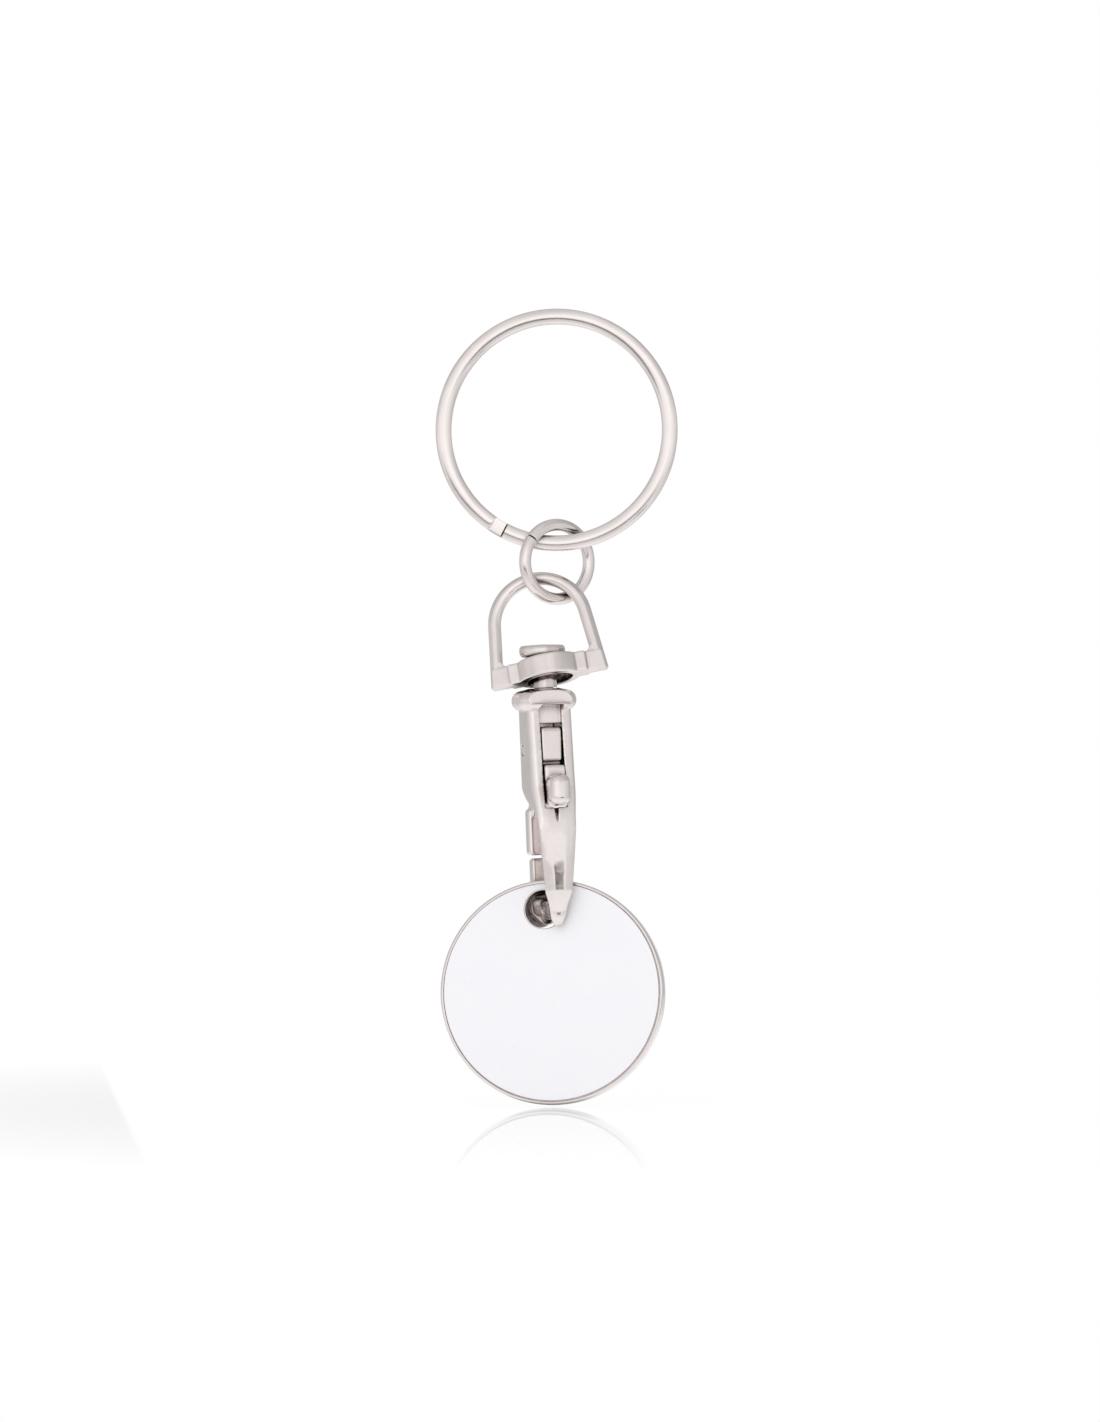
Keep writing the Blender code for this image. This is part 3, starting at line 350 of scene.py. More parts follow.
def applied(made):
    bpy.context.view_layer.update()
    mesh = bpy.data.meshes.new_from_object(made.evaluated_get(bpy.context.evaluated_depsgraph_get()))
    made.modifiers.clear()
    made.data = mesh
    return made


def rounded(made, width, segments=3, limit=40 * DEGREE):
    step = made.modifiers.new("Round", "BEVEL")
    step.width = width
    step.segments = segments
    step.limit_method = "ANGLE"
    step.angle_limit = limit
    return applied(made)


def combined(made, joined=(), cutters=()):
    """Joins and cuts in this order, and removes the helpers."""
    for operation, others in (("UNION", joined), ("DIFFERENCE", cutters)):
        for other in others:
            step = made.modifiers.new(other.name, "BOOLEAN")
            step.operation = operation
            step.object = other
            step.solver = "EXACT"
    applied(made)
    for other in (*joined, *cutters):
        bpy.data.objects.remove(other)
    return made


def cast(made, passes=CASTING_PASSES):
    """One skin with evenly softened edges, as a polished casting has."""
    remesh = made.modifiers.new("Skin", "REMESH")
    remesh.mode = "VOXEL"
    remesh.voxel_size = VOXEL
    remesh.use_smooth_shade = True
    smooth = made.modifiers.new("Soften", "SMOOTH")
    smooth.factor = 0.5
    smooth.iterations = passes
    return applied(made)


def placed(made, place, turn, body, slot, stuff, *nodes, sharp=None):
    """Brings a finished piece to its place in metres and gives it its body, finish and CAD nodes. The slot
    argument is not used.

    A piece that bends between two bodies has no body here."""
    made.data.transform(Matrix.Scale(MM, 4) @ Matrix.Translation(place) @ turn)
    made.data.materials.clear()
    made.data.materials.append(stuff)
    made.data.shade_smooth()
    if sharp is not None:
        made.data.set_sharp_from_angle(angle=sharp)
    if body is not None:
        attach(made, body)
    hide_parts(*nodes)
    return made


def arc(centre, radius, start, stop, count):
    steps = [start + (stop - start) * i / (count - 1) for i in range(count)]
    return [(centre[0] + radius * math.cos(a), centre[1] + radius * math.sin(a)) for a in steps]


def smooth_step(share):
    return share * share * (3 - 2 * share)


def mix(a, b, share):
    return a + (b - a) * share


def rounded_profile(points, radius, count=5):
    """A closed outline with an arc at each corner."""
    out = []
    for i, corner in enumerate(points):
        corner = Vector(corner)
        before, after = Vector(points[i - 1]) - corner, Vector(points[(i + 1) % len(points)]) - corner
        reach = min(radius, 0.45 * before.length, 0.45 * after.length)
        a, b = corner + before.normalized() * reach, corner + after.normalized() * reach
        for k in range(count):
            t = k / (count - 1)
            out.append(tuple(a * (1 - t) ** 2 + corner * 2 * t * (1 - t) + b * t * t))
    return out


def strip_section(crown_front, crown_back):
    """Across the strip: an elliptic crown on one side and nearly flat on the other."""
    across, thick = RING_WIDTH / 2, RING_THICKNESS / 2
    steps = [i / RING_SECTION_STEPS for i in range(RING_SECTION_STEPS + 1)]
    angles = [math.pi * mix(RING_EDGE_SHARE, 1 - RING_EDGE_SHARE, step) for step in steps]
    front = [(across * math.cos(a), -thick + crown_front * (1 - math.sin(a))) for a in angles]
    back = [(across * math.cos(a), thick - crown_back * (1 - math.sin(a))) for a in reversed(angles)]
    return front + back


def ring_section(turn):
    """The strip at one angle. It lies flat over the crossover, and steps to the rear turn at its end."""
    front_sweep = 2 * math.pi - RING_CROSSOVER
    angle = RING_END_ANGLE + turn
    along = min(1, max(0, (turn - front_sweep) / RING_CROSSOVER))
    step = smooth_step(min(1, max(0, (along - 1 + RING_STEP_SHARE) / RING_STEP_SHARE)))
    flat = smooth_step(min(1, along / RING_END_EASE)) * (1 - step)
    y = mix(-RING_LAYER, RING_LAYER, step) + RING_END_SINK * flat
    front_crown = mix(mix(RING_CROWN, RING_BACK_CROWN, step), RING_END_CROWN, flat)
    back_crown = mix(RING_BACK_CROWN, RING_CROWN, step)
    return [
        ((RING_MEAN + r) * math.cos(angle), y + t, (RING_MEAN + r) * math.sin(angle))
        for r, t in strip_section(front_crown, back_crown)
    ]


def split_ring():
    front_sweep = 2 * math.pi - RING_CROSSOVER
    turns = [front_sweep * i / 200 for i in range(200)]
    turns += [front_sweep + RING_CROSSOVER * i / 60 for i in range(60)]
    turns += [2 * math.pi + RING_REAR_SWEEP * i / 200 for i in range(201)]
    made = swept("split_ring_wire", [ring_section(turn) for turn in turns])
    centre = Vector((0, 0, -RING_INNER))
    placed(made, centre, Matrix(), "split_ring", "spring_steel", STEEL, "split_ring", sharp=50 * DEGREE)


def tube(name, points, radius, sides):
    """A round wire through the points, with a frame carried along it."""
    rings = []
    points = [Vector(point) for point in points]
    side = None
    for i, point in enumerate(points):
        ahead = (points[min(i + 1, len(points) - 1)] - points[max(i - 1, 0)]).normalized()
        side = ahead.orthogonal() if side is None else side - ahead * side.dot(ahead)
        side.normalize()
        up = ahead.cross(side)
        rings.append(
            [
                tuple(point + (side * math.cos(a) + up * math.sin(a)) * radius)
                for a in (2 * math.pi * k / sides for k in range(sides))
            ]
        )
    return swept(name, rings)


def jump_ring():
    half_slit = JUMP_SLIT / JUMP_RADIUS / 2
    start, stop = JUMP_SLIT_ANGLE + half_slit, JUMP_SLIT_ANGLE - half_slit + 2 * math.pi
    points = [(x, 0, z) for x, z in arc((0, 0), JUMP_RADIUS, start, stop, 144)]
    made = rounded(tube("jump_ring_wire", points, JUMP_WIRE, 28), 0.05, 2, 60 * DEGREE)
    turn = Matrix.Rotation(JUMP_YAW, 4, "Z")
    placed(made, JUMP_CENTRE, turn, "jump_ring", "nickel_plate", PLATED, "jump_ring", sharp=50 * DEGREE)


def loop_fillet(name, side, splay, foot_x):
    """A small concave fillet where a leg's inner side meets the bar."""
    top = LOOP_BASE_HEIGHT / 2
    rise = top + LOOP_BASE_HEIGHT / 2
    inner = foot_x - LOOP_WIDTH / 2 - rise * math.tan(splay)
    r = LOOP_FILLET
    sink = LOOP_FILLET_SINK
    outline = [(sink, -sink), (sink, r)]
    outline += arc((-r, r), r, 0, -math.pi / 2, 7)
    outline += [(-r, -sink)]
    rings = []
    for y in (-LOOP_DEPTH * 0.42, LOOP_DEPTH * 0.42):
        rings.append([(side * (inner + x), y, top + z) for x, z in outline])
    return swept(name, rings)


def swivel_loop():
    half_width, half_depth = LOOP_WIDTH / 2, LOOP_DEPTH / 2
    shares = ((1, 0.3), (0.3, 0.98), (-0.45, 0.86), (-1, 0.34))
    front = [(half_width * w, -half_depth * d) for w, d in shares]
    section = rounded_profile(front + [(w, -d) for w, d in reversed(front)], LOOP_WIRE_ROUNDING, 4)
    foot = -LOOP_BASE_HEIGHT / 2
    foot_x = LOOP_HALF_LENGTH - half_width
    rise = LOOP_ARCH_UP - foot
    splay = math.atan2(foot_x, rise) - math.asin(LOOP_ARCH / math.hypot(foot_x, rise))
    path = [(foot_x, foot + 0.1, splay)]
    for i in range(73):
        angle = mix(splay, math.pi - splay, i / 72)
        path.append((LOOP_ARCH * math.cos(angle), LOOP_ARCH_UP + LOOP_ARCH * math.sin(angle), angle))
    path.append((-foot_x, foot + 0.1, math.pi - splay))
    rings = [[(x + w * math.cos(a), d, z + w * math.sin(a)) for w, d in section] for x, z, a in path]
    made = swept("swivel_loop_casting", rings)
    low_reach = foot_x + LOOP_WIDTH * LOOP_BAR_REACH_SHARE
    top_reach = low_reach - LOOP_BASE_HEIGHT * math.tan(splay)
    front_view = [(-low_reach, foot), (low_reach, foot), (top_reach, -foot), (-top_reach, -foot)]
    depths = (-LOOP_BASE_DEPTH / 2, LOOP_BASE_DEPTH / 2)
    bar = swept("bar", [[(x, y, z) for x, z in front_view] for y in depths])
    shoulder = box(
        "shoulder",
        (-LOOP_SHOULDER_LENGTH / 2, -LOOP_SHOULDER_DEPTH / 2, foot),
        (LOOP_SHOULDER_LENGTH / 2, LOOP_SHOULDER_DEPTH / 2, -foot),
    )
    boss = cylinder("boss", LOOP_BOSS, foot, -foot)
    for piece in (bar, shoulder, boss):
        rounded(piece, LOOP_BAR_ROUNDING)
    fillets = [loop_fillet(f"fillet_{side}", side, splay, foot_x) for side in (-1, 1)]
    bore = cylinder("bore", LOOP_BORE, foot - OVERRUN, -foot + OVERRUN)
    cast(combined(made, (bar, shoulder, boss, *fillets), (bore,)))
    placed(made, LOOP_BASE, LOOP_TURN, "swivel_loop", "nickel_plate", NICKEL, "swivel_loop")


def swivel_stud():
    head_top = STUD_LIFT + STUD_HEAD_HEIGHT
    r = STUD_ROUNDING
    rim = STUD_HEAD - r
    profile = [(0, head_top)]
    profile += [(rim * t, head_top - STUD_DOME * t * t) for t in (0.25, 0.5, 0.75)]
    profile += arc((rim, head_top - STUD_DOME - r), r, math.pi / 2, 0, 9)
    under = STUD_UNDER_ROUNDING
    profile += arc((STUD_HEAD - under, STUD_LIFT + under), under, 0, -math.pi / 2, 10)
    edge_in, edge_up = STUD_NECK_EDGE
    profile += [(STUD_SHANK, STUD_LIFT), (STUD_SHANK, STUD_NECK_END)]
    profile += [(STUD_NECK - edge_in, STUD_NECK_TOP + edge_up), (STUD_NECK, STUD_NECK_TOP), (STUD_NECK, SEAT)]
    profile += [(STUD_SHANK, SEAT), (STUD_SHANK, -STUD_SOCKET), (0, -STUD_SOCKET)]
    made = turned("swivel_stud_turning", profile, 96, STUD_FACETS)
    placed(made, HOOK_TOP, HOOK_TURN, "hook", "nickel_plate", NICKEL, "swivel_stud", sharp=35 * DEGREE)


def ellipse_point(centre, across, along, share):
    angle = share * math.pi / 2
    return (centre[0] + across * math.cos(angle), centre[1] + along * math.sin(angle))


def corner_then_straight(corner, across, along, end, share):
    if share < 0.5:
        centre = (corner[0] - across * THROAT, corner[1] - along * THROAT)
        return ellipse_point(centre, across * THROAT, along * THROAT, 2 * share)
    return (mix(corner[0] - across * THROAT, end, 2 * share - 1), corner[1])


def toe_point(share):
    if share < 0.5:
        return (
            mix(-SPINE_LOW_FRONT + SPINE_FALL, -FACET_FRONT, 2 * share),
            mix(-SPINE_LOW, -FACET_DOWN, 2 * share),
        )
    centre = (-TOE_FRONT, -FACET_DOWN)
    return ellipse_point(centre, TOE_FRONT - FACET_FRONT, FACET_DOWN - TOE_BOTTOM, 2 * share - 1)


def claw_stations():
    """Down the housing and the spine, round the bend and up the nose, as in the CAD, with finer steps."""
    stations = []
    shares = [i / 20 for i in range(21)]
    for share in shares[::5]:
        down = mix(BODY_TOP, CHEEK_STRAIGHT, share)
        front = mix(BODY_TOP_FRONT, BODY_FRONT, share)
        stations.append(((-front, -down), (BODY_BACK, -down), BODY_HALF_WIDTH, 0, 0))
    for share in shares[1:]:
        down = mix(CHEEK_STRAIGHT, SPINE_BULGE, share)
        front = mix(BODY_FRONT, SPINE_FRONT, math.sin(share * math.pi / 2))
        inner = ellipse_point(
            (-SPINE_BACK, -CHEEK_STRAIGHT), BODY_BACK + SPINE_BACK, CHEEK_STRAIGHT - CHEEK_END, share
        )
        half_width = mix(BODY_HALF_WIDTH, SPINE_HALF_WIDTH, smooth_step(share))
        stations.append(((-front, -down), inner, half_width, share, 0))
    for share in shares[2::2]:
        down = mix(SPINE_BULGE, SPINE_LOW, share)
        inner_down = mix(CHEEK_END, BEND_TOP - THROAT, share)
        front = mix(SPINE_FRONT, SPINE_LOW_FRONT, share * share) - SPINE_FALL * max(0, 2 * share - 1) ** 2
        half_width = mix(SPINE_HALF_WIDTH, SPINE_LOW_HALF_WIDTH, share)
        stations.append(((-front, -down), (-SPINE_BACK, -inner_down), half_width, 1, 0))
    for share in shares[1:]:
        inner = corner_then_straight((-SPINE_BACK, -BEND_TOP), -1, -1, -BEND_HALF_LENGTH, share)
        half_width = mix(SPINE_LOW_HALF_WIDTH, BEND_HALF_WIDTH, math.sin(share * math.pi / 2))
        stations.append((toe_point(share), inner, half_width, 1, share))
    for along in (-BEND_HALF_LENGTH + THROAT / 2, BEND_HALF_LENGTH):
        stations.append(((along, -BEND_BOTTOM), (along, -BEND_TOP), BEND_HALF_WIDTH, 1, 1))
    for share in shares[1:]:
        radii = (NOSE_BACK - BEND_HALF_LENGTH, NOSE_LOW - HEEL_BOTTOM)
        outer = ellipse_point((BEND_HALF_LENGTH, -NOSE_LOW), *radii, 1 - share)
        inner = corner_then_straight((NOSE_FRONT, -BEND_TOP), 1, -1, BEND_HALF_LENGTH, 1 - share)
        half_width = mix(BEND_HALF_WIDTH, NOSE_HALF_WIDTH, smooth_step(min(1, HEEL_QUICK * share)))
        half_width += HEEL_SWELL * math.sin(share * math.pi) ** 2
        stations.append((outer, inner, half_width, 1 - share, 1 - share))
    for sink, inset in ((NOSE_ROUNDING, 0), (0, NOSE_ROUNDING)):
        up = -NOSE_TOP - sink
        stations.append(((NOSE_BACK - inset, up), (NOSE_FRONT + inset, up), NOSE_HALF_WIDTH - inset, 0, 0))
    return stations


def claw_section(outer, inner, half_width, softness, roundness):
    """Across the claw: depth from its outer side to its inner side, and the share of its half width there."""
    crown = SPINE_CROWN * softness / math.dist(outer, inner)
    corners = (
        (0, mix(0.42, 0.3, roundness)),
        (crown, mix(0.84, 0.6, roundness)),
        (mix(0.1, 0.25, roundness) + crown, 1),
        (mix(0.94, 0.78, softness), 1),
        (1, mix(0.88, 0.6, softness)),
    )
    right = [
        (half_width * w, mix(outer[0], inner[0], depth), mix(outer[1], inner[1], depth))
        for depth, w in corners
    ]
    ring = right + [(-x, y, z) for x, y, z in reversed(right)]
    return rounded_profile(ring, CLAW_ROUNDING, 4)


def collar():
    """The round collar, with a flat cut on its front and its back."""
    r = COLLAR_ROUNDING
    rim = COLLAR - r
    edge_in, edge_down = COLLAR_EDGE
    profile = [(0, 0), (COLLAR_TOP - edge_in, 0), (COLLAR_TOP, -edge_down)]
    profile += arc((rim, -COLLAR_HEIGHT + r), r, math.pi * 0.42, -math.pi / 2, 20)
    profile.append((0, -COLLAR_HEIGHT))
    made = turned("collar", profile, 96, COLLAR_FACETS)
    far = COLLAR + OVERRUN
    flats = [
        box(name, (-far, min(near, end), -COLLAR_FLAT_DOWN), (far, max(near, end), OVERRUN))
        for name, near, end in (("front_flat", -COLLAR_FLAT, -far), ("back_flat", COLLAR_FLAT, far))
    ]
    return combined(made, (), flats)


def slot_outline():
    """The slot that the lever works in, seen from the side."""
    front = -SPINE_FRONT - OVERRUN
    back = BODY_BACK + OVERRUN
    wall = BODY_BACK - SLOT_WALL
    roof = -BODY_TOP_FRONT + SLOT_ROOF
    floor_back = -SPINE_BACK + SEAT
    below = -CHEEK_END - OVERRUN
    return [
        (front, -SLOT_MOUTH_TOP),
        (roof, -SLOT_MOUTH_TOP),
        (roof, -SLOT_TOP),
        (wall, -SLOT_TOP),
        (wall, -SLOT_WALL_END),
        (back, -SLOT_WALL_END),
        (back, below),
        (floor_back, below),
        (floor_back, -SLOT_FLOOR_BACK),
        (front, -SLOT_BOTTOM),
    ]


def groove():
    """The V groove that runs out on the spine below the thumb tab."""
    deep = -SPINE_FRONT + GROOVE_DEPTH
    proud = -SPINE_FRONT - OVERRUN
    top = -SLOT_BOTTOM + OVERRUN
    half = GROOVE_WIDTH / 2 * (1 + OVERRUN / GROOVE_DEPTH)
    high = [(-half, proud, top), (0, deep, top), (half, proud, top)]
    low = [(-SEAT, proud, -GROOVE_END), (0, -SPINE_FRONT, -GROOVE_END), (SEAT, proud, -GROOVE_END)]
    return swept("groove", [high, low])


def hook_body():
    made = swept("hook_casting", [claw_section(*station) for station in claw_stations()])
    proud = -SPINE_FRONT - OVERRUN
    half = SLOT_HALF_WIDTH
    reach = BODY_HALF_WIDTH + OVERRUN
    cutters = (
        extruded("slot", slot_outline(), half),
        box("pocket", (-half, proud, -POCKET_BOTTOM), (half, -POCKET_FLOOR, -POCKET_TOP)),
        groove(),
        cylinder("cheek_bore", PIN_RADIUS + PIN_PLAY, -reach, reach, "X", PIVOT),
        cylinder("socket", STUD_SHANK + SEAT, -STUD_SOCKET - SEAT, OVERRUN),
    )
    cast(combined(made, (collar(), ball("heel", HEEL_PLACE, HEEL_RADII)), cutters))
    placed(made, HOOK_TOP, HOOK_TURN, "hook", "nickel_plate", CAST_HOOK, "hook_body")


def pivot_pin():
    half = BODY_HALF_WIDTH - PIN_PLAY
    r = PIN_ROUNDING
    profile = [(0, -half)]
    profile += arc((PIN_RADIUS - r, -half + r), r, -math.pi / 2, 0, 5)
    profile += arc((PIN_RADIUS - r, half - r), r, 0, math.pi / 2, 5)
    profile += [(0, half)]
    made = turned("pivot_pin_turning", profile, 40)
    made.data.transform(Matrix.Translation(PIVOT) @ Matrix.Rotation(math.pi / 2, 4, "Y"))
    placed(made, HOOK_TOP, HOOK_TURN, "hook", "spring_steel", STEEL, "pivot_pin", sharp=50 * DEGREE)


def lever_outline():
    """The lever from the side, about its pivot: arm, notch, face, lip, gate and back up to the eye."""
    arm_radius = ARM_THICKNESS / 2
    arm_back = -ARM_FRONT + ARM_THICKNESS
    gate_end = -NOSE_TOP + GATE_GAP
    back, down = PIVOT.y, -PIVOT.z
    shank_down = mix(down, GATE_SHOULDER, 0.55)
    shank_back = mix(back + EYE_RADIUS, NOSE_BACK, 0.55)
    points = [(arm_back, -SPRING_DOWN - SPRING_COIL - SPRING_SEAT - SPRING_WIRE)]
    points.append((arm_back, -ARM_TOP - arm_radius))
    points += arc((-ARM_FRONT + arm_radius, -ARM_TOP - arm_radius), arm_radius, 0, math.pi, 13)[1:]
    points += [
        (-ARM_FRONT, -ARM_END),
        (-ARM_FRONT + NOTCH, -ARM_END - NOTCH_SLOPE),
        (-ARM_FRONT + NOTCH, -FACE_TOP + NOTCH_SLOPE),
        (-FACE_ROOT, -FACE_TOP),
        (-FACE_FRONT, -FACE_TOP - FACE_EASE),
        (-FACE_FRONT, -LEVER_BOTTOM + FACE_LENGTH),
        (-LIP_FRONT, -LEVER_BOTTOM + LIP_RISE),
        (-LIP_FRONT, -LIP_DOWN + LIP_ROUNDING),
        (-LIP_BACK - LIP_ROUNDING, -LIP_DOWN),
        (-LIP_BACK, -LEVER_BOTTOM),
        (-LEVER_UNDERSIDE, -LEVER_BOTTOM),
        (0, -LEVER_BOTTOM + NOTCH),
        (NOSE_FRONT - ARM_THICKNESS / 2, -GATE_SHOULDER + NOTCH),
        (NOSE_FRONT, -GATE_SHOULDER - ARM_THICKNESS),
        (NOSE_FRONT, gate_end),
    ]
    points += arc((NOSE_BACK - GATE_ROUNDING, gate_end + GATE_ROUNDING), GATE_ROUNDING, -math.pi / 2, 0, 7)
    points += [(NOSE_BACK, -GATE_SHOULDER), (shank_back, -shank_down)]
    points += arc((back, -down), EYE_RADIUS, -math.pi / 9, math.pi * 0.72, 19)
    return [(y - back, z + down) for y, z in points]


def trigger_gate():
    made = extruded("trigger_casting", lever_outline(), LEVER_HALF_WIDTH)
    rounded(made, LEVER_ROUNDING, 2, 60 * DEGREE)
    half = LEVER_HALF_WIDTH
    tab = box("tab_block", (-half, -TAB_FRONT, -TAB_BOTTOM), (half, -TAB_BACK, -TAB_TOP))
    rounded(tab, TAB_ROUNDING, 7)
    tab.data.transform(Matrix.Translation(-PIVOT))
    gate = box(
        "gate_block",
        (-GATE_HALF_WIDTH, NOSE_FRONT - PIVOT.y, -NOSE_TOP + GATE_GAP - PIVOT.z),
        (GATE_HALF_WIDTH, NOSE_BACK - PIVOT.y, -PIVOT.z - GATE_SHOULDER),
    )
    rounded(gate, GATE_ROUNDING, 6)
    reach = half + OVERRUN
    eye = cylinder("eye", PIN_RADIUS + EYE_PLAY, -reach, reach, "X")
    cast(combined(made, (gate, tab), (eye,)), passes=LEVER_PASSES)
    made.data.transform(Matrix.Translation(PIVOT))
    placed(made, HOOK_TOP, HOOK_TURN, "trigger", "nickel_plate", NICKEL, "trigger_gate")


def gate_spring():
    """A coil that runs from the lever's arm back to the housing."""
    start = -ARM_FRONT + ARM_THICKNESS + SPRING_SEAT + SPRING_WIRE
    stop = BODY_BACK - SLOT_WALL - SPRING_SEAT - SPRING_WIRE
    points = []
    for share in (i / SPRING_STEPS for i in range(SPRING_STEPS + 1)):
        angle = 2 * math.pi * SPRING_TURNS * share
        x, z = SPRING_COIL * math.cos(angle), SPRING_COIL * math.sin(angle)
        points.append((x, mix(start, stop, share), z - SPRING_DOWN))
    made = tube("gate_spring_coil", points, SPRING_WIRE, 12)
    placed(made, HOOK_TOP, HOOK_TURN, None, "spring_steel", STEEL, "gate_spring", sharp=50 * DEGREE)
    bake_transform(made)


def in_token_plane(made):
    """Turns a disc made about Z to face -Y, with the token's hole at the origin."""
    centre = Vector(
        (TOKEN_HOLE_OFFSET * math.sin(TOKEN_HANG), 0, -TOKEN_HOLE_OFFSET * math.cos(TOKEN_HANG))
    )
    made.data.transform(Matrix.Translation(centre) @ Matrix.Rotation(math.pi / 2, 4, "X"))
    return made


def token():
    bed = TOKEN_RADIUS - TOKEN_RIM
    r = TOKEN_LIP_ROUNDING
    top = [(0, INLAY_FLOOR), (bed, INLAY_FLOOR), (bed, TOKEN_HALF - r)]
    top += arc((bed + r, TOKEN_HALF - r), r, math.pi, math.pi / 2, 4)[1:]
    top += arc((TOKEN_RADIUS - TOKEN_CHAMFER, TOKEN_HALF - TOKEN_CHAMFER), TOKEN_CHAMFER, math.pi / 2, 0, 9)
    profile = top + [(x, -z) for x, z in reversed(top)]
    made = in_token_plane(turned("token_blank", profile, 240))
    reach = TOKEN_HALF + OVERRUN
    combined(made, (), (cylinder("token_hole", TOKEN_HOLE, -reach, reach, "Y", steps=96),))
    placed(made, TOKEN_PLACE, TOKEN_TURN, "token", "nickel_plate", COINED, "token", sharp=30 * DEGREE)


def token_inlay(name, node, side):
    """An enamel disc whose surface creeps up a little at its edge."""
    radius = TOKEN_RADIUS - TOKEN_RIM - INLAY_EDGE_GAP
    low, high = INLAY_FLOOR + INLAY_GLUE, INLAY_FLOOR + INLAY_HEIGHT
    level = high - INLAY_CREEP
    profile = [(0, low), (radius, low), (radius, high - INLAY_ROUNDING), (radius - INLAY_ROUNDING, high)]
    profile += [(radius - 0.1, high), (radius - 0.4, level), (0, level)]
    if side < 0:
        profile = [(x, -z) for x, z in reversed(profile)]
    made = in_token_plane(turned(name, profile, 240))
    reach = TOKEN_HALF + OVERRUN
    hole = cylinder(name + "_hole", TOKEN_HOLE + INLAY_HOLE_MARGIN, -reach, reach, "Y", steps=96)
    made.data.transform(Matrix.Translation(INLAY_SHIFT))
    combined(made, (), (hole,))
    placed(made, TOKEN_PLACE, TOKEN_TURN, "token", "white_enamel", ENAMEL, node, sharp=30 * DEGREE)


class Nodes:
    """A short way to build a node tree."""

    def __init__(self, tree):
        self.tree = tree

    def add(self, kind, **settings):
        made = self.tree.nodes.new(kind)
        for key, value in settings.items():
            if key.startswith("_"):
                setattr(made, key[1:], value)
            else:
                made.inputs[key.replace("__", " ")].default_value = value
        return made

    def link(self, source, target):
        self.tree.links.new(source, target)

    def math(self, operation, *values, clamp=False):
        made = self.tree.nodes.new("ShaderNodeMath")
        made.operation = operation
        made.use_clamp = clamp
        for socket, value in zip(made.inputs, values):
            if isinstance(value, (int, float)):
                socket.default_value = value
            else:
                self.link(value, socket)
        return made.outputs[0]

    def ramp(self, source, *stops):
        made = self.tree.nodes.new("ShaderNodeValToRGB")
        band = made.color_ramp
        while len(band.elements) < len(stops):
            band.elements.new(0.5)
        for element, (place, colour) in zip(band.elements, stops):
            element.position = place
            element.color = (*colour, 1) if isinstance(colour, tuple) else (colour, colour, colour, 1)
        self.link(source, made.inputs[0])
        return made.outputs[0]

    def noise(self, vector, scale, detail=2.0, rough=0.5):
        made = self.add("ShaderNodeTexNoise", Scale=scale, Detail=detail, Roughness=rough)
        self.link(vector, made.inputs["Vector"])
        return made.outputs[0]

    def mixed(self, share, a, b):
        made = self.tree.nodes.new("ShaderNodeMix")
        made.data_type = "RGBA"
        self.link(share, made.inputs[0])
        for socket, value in ((made.inputs[6], a), (made.inputs[7], b)):
            if isinstance(value, tuple):
                socket.default_value = (*value, 1)
            else:
                self.link(value, socket)
        return made.outputs[2]

    def parts(self, vector):
        made = self.add("ShaderNodeSeparateXYZ")
        self.link(vector, made.inputs[0])
        return made.outputs

    def length(self, vector):
        made = self.add("ShaderNodeVectorMath", _operation="LENGTH")
        self.link(vector, made.inputs[0])
        return made.outputs["Value"]

    def spread(self, level, source, amount):
        """The level, moved up and down by half the amount as the source goes from 0 to 1."""
        return self.math("MULTIPLY_ADD", source, amount, self.math("SUBTRACT", level, amount / 2))

    def dimmed(self, level, mask, share):
        """The level, darker by the share where the mask is 1."""
        return self.math("MULTIPLY", level, self.math("MULTIPLY_ADD", mask, -share, 1.0))

    def mirrored(self, path):
        """1 for a ray that comes off a mirror or through glass, otherwise 0."""
        glossy, clear = path.outputs["Is Glossy Ray"], path.outputs["Is Transmission Ray"]
        return self.math("ADD", glossy, clear, clamp=True)

    def shaders(self, share, first, second):
        made = self.add("ShaderNodeMixShader")
        if isinstance(share, float):
            made.inputs[0].default_value = share
        else:
            self.link(share, made.inputs[0])
        self.link(first.outputs[0], made.inputs[1])
        self.link(second.outputs[0], made.inputs[2])
        return made

    def bump(self, shader, height, distance):
        made = self.add("ShaderNodeBump", Strength=1.0, Distance=distance)
        self.link(height, made.inputs["Height"])
        self.link(made.outputs[0], shader.inputs["Normal"])


def material(name):
    made = bpy.data.materials.new(name)
    made.use_nodes = True
    return made, Nodes(made.node_tree), made.node_tree.nodes["Principled BSDF"]


def bare_material(name):
    """A material with nothing in its tree but the output, and that output's socket."""
    made = bpy.data.materials.new(name)
    made.use_nodes = True
    made.node_tree.nodes.clear()
    nodes = Nodes(made.node_tree)
    return made, nodes, nodes.add("ShaderNodeOutputMaterial").inputs[0]
